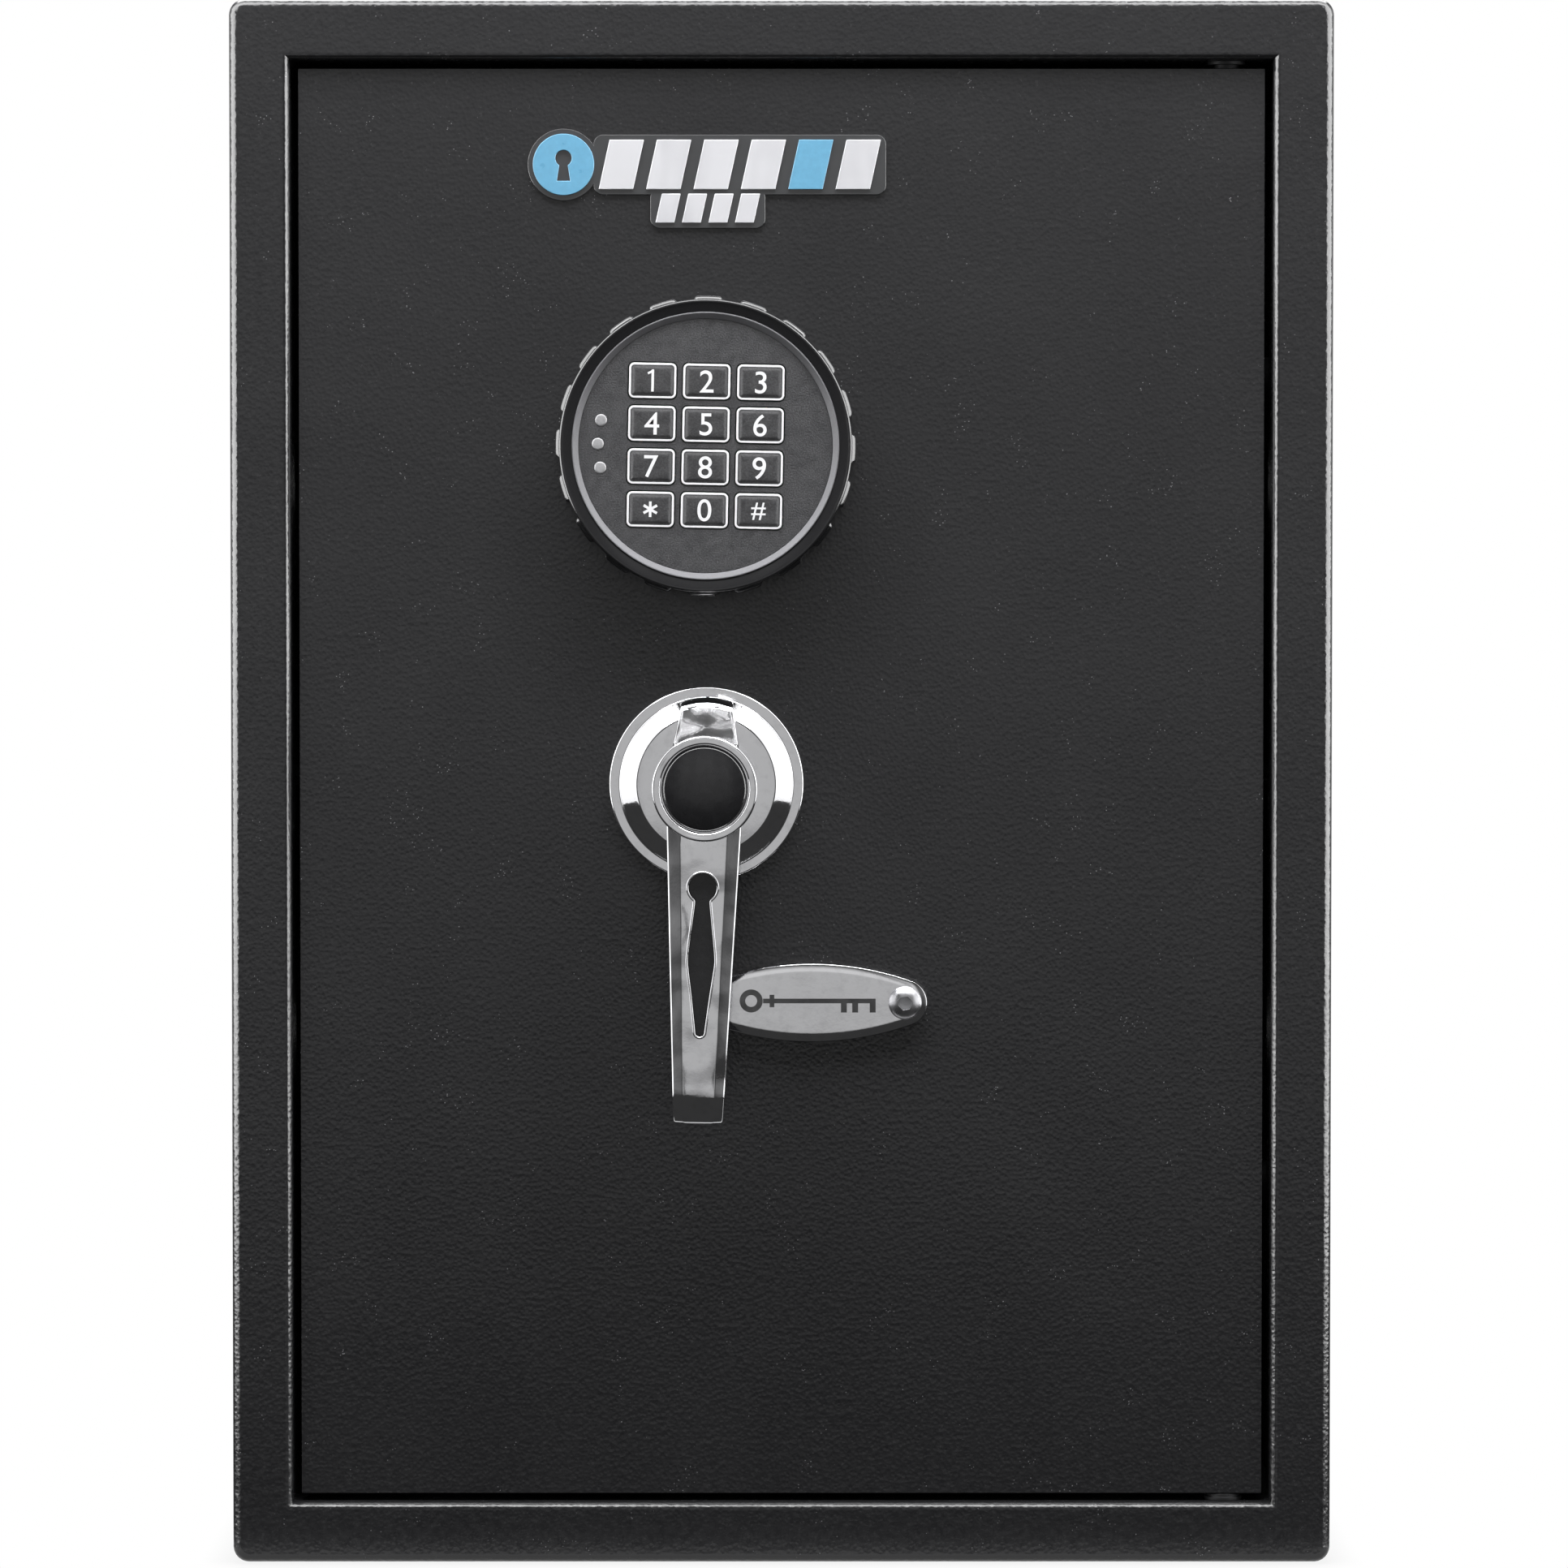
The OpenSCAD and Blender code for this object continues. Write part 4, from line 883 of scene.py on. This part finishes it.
def key_pictogram():
    """A plain key lying level: a ring, a shaft and three teeth, as separate outlines."""
    bow_u, bow_v, outer, inner, line = -19.3, 0.6, 3.7, 1.9, 0.75
    outlines = []
    for start in (0, 180):
        ring = arc(bow_u, bow_v, outer, start, start + 180, 16)
        outlines.append(ring + arc(bow_u, bow_v, inner, start + 180, start, 16))
    bars = [(-15.5, bow_v - line, 20.5, bow_v + line)]
    bars += [(u, bow_v - 3.7, u + 1.9, bow_v - line) for u in (9.4, 13.0, 18.6)]
    bars += [(-13.4, bow_v - 2.0, -11.9, bow_v - line), (-13.4, bow_v + line, -11.9, bow_v + 2.0)]
    outlines += [[(left, low), (right, low), (right, high), (left, high)] for left, low, right, high in bars]
    return outlines


def cover_screw():
    """A button-head screw with a hexagon socket, its spacer and its shank."""
    head = DOOR_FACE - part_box("key_cover_screw")[0].y
    back = DOOR_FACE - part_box("key_cover_screw")[1].y
    seat = head - 2.9 * MM
    thread, shank, spacer, spacer_top = 2.45 * MM, 2.5 * MM, 5.5 * MM, 2.25 * MM
    outline = [(0, back), (thread, back), (thread, 0), (spacer, 0), (spacer, spacer_top)]
    outline += [(shank, spacer_top), (shank, seat), (5.1 * MM, seat), (5.3 * MM, seat + 0.2 * MM)]
    outline += [(5.3 * MM, seat + 0.7 * MM)]
    dome = arc(0, 0, 1, 12, 68, 9)
    outline += [(5.4 * MM * u, seat + 0.2 * MM + 2.85 * MM * v) for u, v in dome]
    outline += [(0, head)]
    bm = bmesh.new()
    turned(bm, SCREW, outline, 120)
    obj = to_object("key_cover_button_screw", bm, [FINISHES["screw_chrome"]])
    across = 4 * MM / math.sqrt(3)
    hexagon = [(math.cos(math.radians(a)), math.sin(math.radians(a))) for a in range(12, 372, 60)]
    rings = [(across * 0.9, head - 2.3 * MM), (across, head - 2.2 * MM), (across, head - 0.2 * MM)]
    rings += [(across * 1.12, head + 0.1 * MM)]
    bm = bmesh.new()
    loft(bm, [[Vector((SCREW.x + r * u, DOOR_FACE - out, SCREW.z + r * v)) for u, v in hexagon]
              for r, out in rings])
    socket = to_object("hex_socket", bm, [FINISHES["screw_chrome"]])
    carve(obj, socket)
    settle(obj, "door", "bolt_chrome", "key_cover_screw", sharp=30)


# ---- studio ----

def studio_world():
    """A white backdrop for the camera.
    For light and reflections: grey ahead, bright at the sides and overhead, and dark below."""
    world = bpy.data.worlds.new("studio")
    bpy.context.scene.world = world
    world.use_nodes = True
    tree = world.node_tree
    tree.nodes.clear()

    def node(kind, **settings):
        made = tree.nodes.new(kind)
        for name, value in settings.items():
            setattr(made, name, value)
        return made

    def math_node(operation, *values):
        made = node("ShaderNodeMath", operation=operation)
        for socket, value in zip(made.inputs, values):
            if isinstance(value, (int, float)):
                socket.default_value = value
            else:
                tree.links.new(value, socket)
        return made.outputs[0]

    def ramp(value, stops):
        """Grey levels over a value; each stop is (value, level)."""
        made = node("ShaderNodeFloatCurve")
        curve = made.mapping.curves[0]
        made.mapping.use_clip = False
        for (x, y), point in zip((stops[0], stops[-1]), curve.points):
            point.location = (x, y)
        for x, y in stops[1:-1]:
            curve.points.new(x, y)
        for point in curve.points:
            point.handle_type = "VECTOR"
        made.mapping.update()
        tree.links.new(value, made.inputs["Value"])
        return made.outputs[0]

    axes = node("ShaderNodeSeparateXYZ")
    tree.links.new(node("ShaderNodeTexCoord").outputs["Generated"], axes.inputs[0])
    x, y, z = axes.outputs
    aside = math_node("ARCTAN2", math_node("ABSOLUTE", x), math_node("MULTIPLY", y, -1))
    aside = math_node("DIVIDE", aside, math.pi)
    height = math_node("DIVIDE", math_node("ADD", math_node("ARCSINE", z), math.pi / 2), math.pi)
    around = ramp(aside, AROUND)
    bright = math_node("MULTIPLY", around, ramp(height, BY_HEIGHT))
    bright = math_node("ADD", bright, ramp(height, OVERHEAD))
    studio = node("ShaderNodeBackground")
    studio.inputs["Color"].default_value = (1, 1, 1, 1)
    tree.links.new(bright, studio.inputs["Strength"])
    backdrop = node("ShaderNodeBackground")
    backdrop.inputs["Color"].default_value = (1, 1, 1, 1)
    backdrop.inputs["Strength"].default_value = 1.0
    mix = node("ShaderNodeMixShader")
    tree.links.new(node("ShaderNodeLightPath").outputs["Is Camera Ray"], mix.inputs[0])
    tree.links.new(studio.outputs[0], mix.inputs[1])
    tree.links.new(backdrop.outputs[0], mix.inputs[2])
    tree.links.new(mix.outputs[0], node("ShaderNodeOutputWorld").inputs["Surface"])


# Level by angle from straight ahead of the front (0) to behind (1)
AROUND = [(0, 0.46), (0.034, 0.46), (0.038, 0.18), (0.044, 0.18), (0.048, 0.44), (0.07, 0.42)]
AROUND += [(0.10, 0.08), (0.16, 0.08), (0.36, 0.6), (0.62, 1.0), (0.72, 0.7), (1, 0.6)]
# What is left of it by height, from straight down (0) over level (0.5) to straight up (1)
BY_HEIGHT = [(0, 0.02), (0.422, 0.04), (0.45, 0.5), (0.466, 0.64), (0.478, 1), (0.51, 1)]
BY_HEIGHT += [(0.53, 1.4), (0.59, 1.4), (0.66, 0.3), (0.92, 0.3), (0.94, 0.1), (1, 0.05)]
# Light that is added by height: a bright band high up, all the way round
OVERHEAD = [(0, 0.0), (0.78, 0.0), (0.81, 5.0), (0.91, 5.0), (0.935, 0.08), (1, 0.06)]


def floor():
    """A pale floor: white to the camera but for a faint contact shadow.
    In reflections it is white by the case's foot and dark a little way past it."""
    radius, drop = 1.3, 0.5 * MM
    bm = bmesh.new()
    bmesh.ops.create_circle(bm, cap_ends=True, segments=96, radius=radius)
    bmesh.ops.translate(bm, verts=bm.verts, vec=(0, 0, -drop))
    material = bpy.data.materials.new("pale_floor")
    material.use_nodes = True
    tree = material.node_tree
    tree.nodes.remove(tree.nodes["Principled BSDF"])

    def node(kind, **inputs):
        made = tree.nodes.new(kind)
        for name, value in inputs.items():
            made.inputs[name.replace("_", " ")].default_value = value
        return made

    def join(value, socket):
        tree.links.new(value, socket)

    def glow(value, **limits):
        """A white light whose strength is the value, mapped between limits."""
        mapped = node("ShaderNodeMapRange", **limits)
        light = node("ShaderNodeEmission")
        join(value, mapped.inputs["Value"])
        join(mapped.outputs["Result"], light.inputs["Strength"])
        return light.outputs[0]

    def vector_math(operation, value):
        made = node("ShaderNodeVectorMath")
        made.operation = operation
        join(value, made.inputs[0])
        return made

    def choose(ray, other, chosen):
        """The chosen shader for rays of one kind, and the other for the rest."""
        mix = node("ShaderNodeMixShader")
        join(ray, mix.inputs[0])
        join(other, mix.inputs[1])
        join(chosen, mix.inputs[2])
        return mix.outputs[0]

    near = node("ShaderNodeAmbientOcclusion", Distance=12 * MM)
    seen = glow(near.outputs["AO"], From_Min=0.45, To_Min=0.9)
    unlit = node("ShaderNodeBsdfDiffuse", Color=(0.06, 0.06, 0.06, 1))
    # How far a point of the floor lies past the case's outline
    past = vector_math("ABSOLUTE", node("ShaderNodeTexCoord").outputs["Object"])
    beyond = vector_math("SUBTRACT", past.outputs[0])
    beyond.inputs[1].default_value = (CAD_BOX[1].x, CAD_BOX[1].y, 0)
    outside = vector_math("MAXIMUM", beyond.outputs[0])
    away = vector_math("LENGTH", outside.outputs[0])
    foot = glow(away.outputs["Value"], From_Min=0.02, From_Max=0.035, To_Min=1.0, To_Max=0.035)
    path = node("ShaderNodeLightPath")
    mirrored = choose(path.outputs["Is Glossy Ray"], unlit.outputs[0], foot)
    picked = choose(path.outputs["Is Camera Ray"], mirrored, seen)
    join(picked, tree.nodes["Material Output"].inputs["Surface"])
    to_object("floor", bm, [material])


def softbox(name, place, target, width, height, power, diffuse=True):
    """A rectangular light, out of the camera's sight; without diffuse it only shows as a reflection."""
    light = bpy.data.lights.new(name, "AREA")
    light.shape = "RECTANGLE"
    light.size = width
    light.size_y = height
    light.energy = power
    obj = bpy.data.objects.new(name, light)
    obj.location = place
    obj.rotation_euler = (Vector(target) - Vector(place)).to_track_quat("-Z", "Y").to_euler()
    obj.visible_camera = False
    obj.visible_diffuse = diffuse
    bpy.context.scene.collection.objects.link(obj)
    return obj


def shine(light, pieces, state):
    """Makes a light fall on the named pieces only (INCLUDE), or on everything but them (EXCLUDE)."""
    receivers = bpy.data.collections.new(light.name + "_receivers")
    for name in pieces:
        receivers.objects.link(bpy.data.objects[name])
    light.light_linking.receiver_collection = receivers
    for member in receivers.collection_objects:
        member.light_linking.link_state = state


def camera():
    """Level with the upper half of the door, two metres off, looking a little down."""
    middle = (CAD_BOX[0] + CAD_BOX[1]) / 2
    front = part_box("front_frame")[0].y
    side, distance, eye_level = 0.8 * MM, 2.0, 319 * MM
    # The width that the picture takes in at the front frame
    field = 500.8 * MM
    place = Vector((middle.x + side, front - distance, eye_level))
    target = Vector((middle.x + side, front, middle.z))
    data = bpy.data.cameras.new("camera")
    data.sensor_width = 36
    data.lens = data.sensor_width * (target - place).length / field
    obj = bpy.data.objects.new("camera", data)
    obj.location = place
    obj.rotation_euler = (target - place).to_track_quat("-Z", "Y").to_euler()
    bpy.context.scene.collection.objects.link(obj)
    bpy.context.scene.camera = obj


finish_frame()
keypad_housing()
keypad_trim()
indicator_lenses()
keys()
rosette()
lever()
lever_cap()
key_cover()
cover_screw()

bpy.context.scene.view_settings.view_transform = "Standard"
studio_world()
floor()
softbox("key_light", (0, -0.55, 1.1), (0, -0.15, 0.36), 1.2, 0.4, 14.5)
# The side banks are strong for the paint's lit edges, and weak for the chrome, which mirrors them whole
MIRRORS = (
    "rosette_disc", "lever_body", "lever_slot_rim", "lever_neck", "key_cover_plate",
    "key_cover_button_screw",
)
for name, side in (("left", -1), ("right", 1)):
    for bank, power, state in (("bank", 58, "EXCLUDE"), ("sheen", 5.4, "INCLUDE")):
        place, target = (side * 0.9, -0.50, 0.80), (0, -0.20, 0.80)
        light = softbox(f"{name}_{bank}", place, target, 1.0, 1.6, power, diffuse=False)
        shine(light, MIRRORS, state)
softbox("top_bank", (0, 0.25, 1.0), (0, 0.25, 0.5), 1.0, 0.66, 20)
camera()
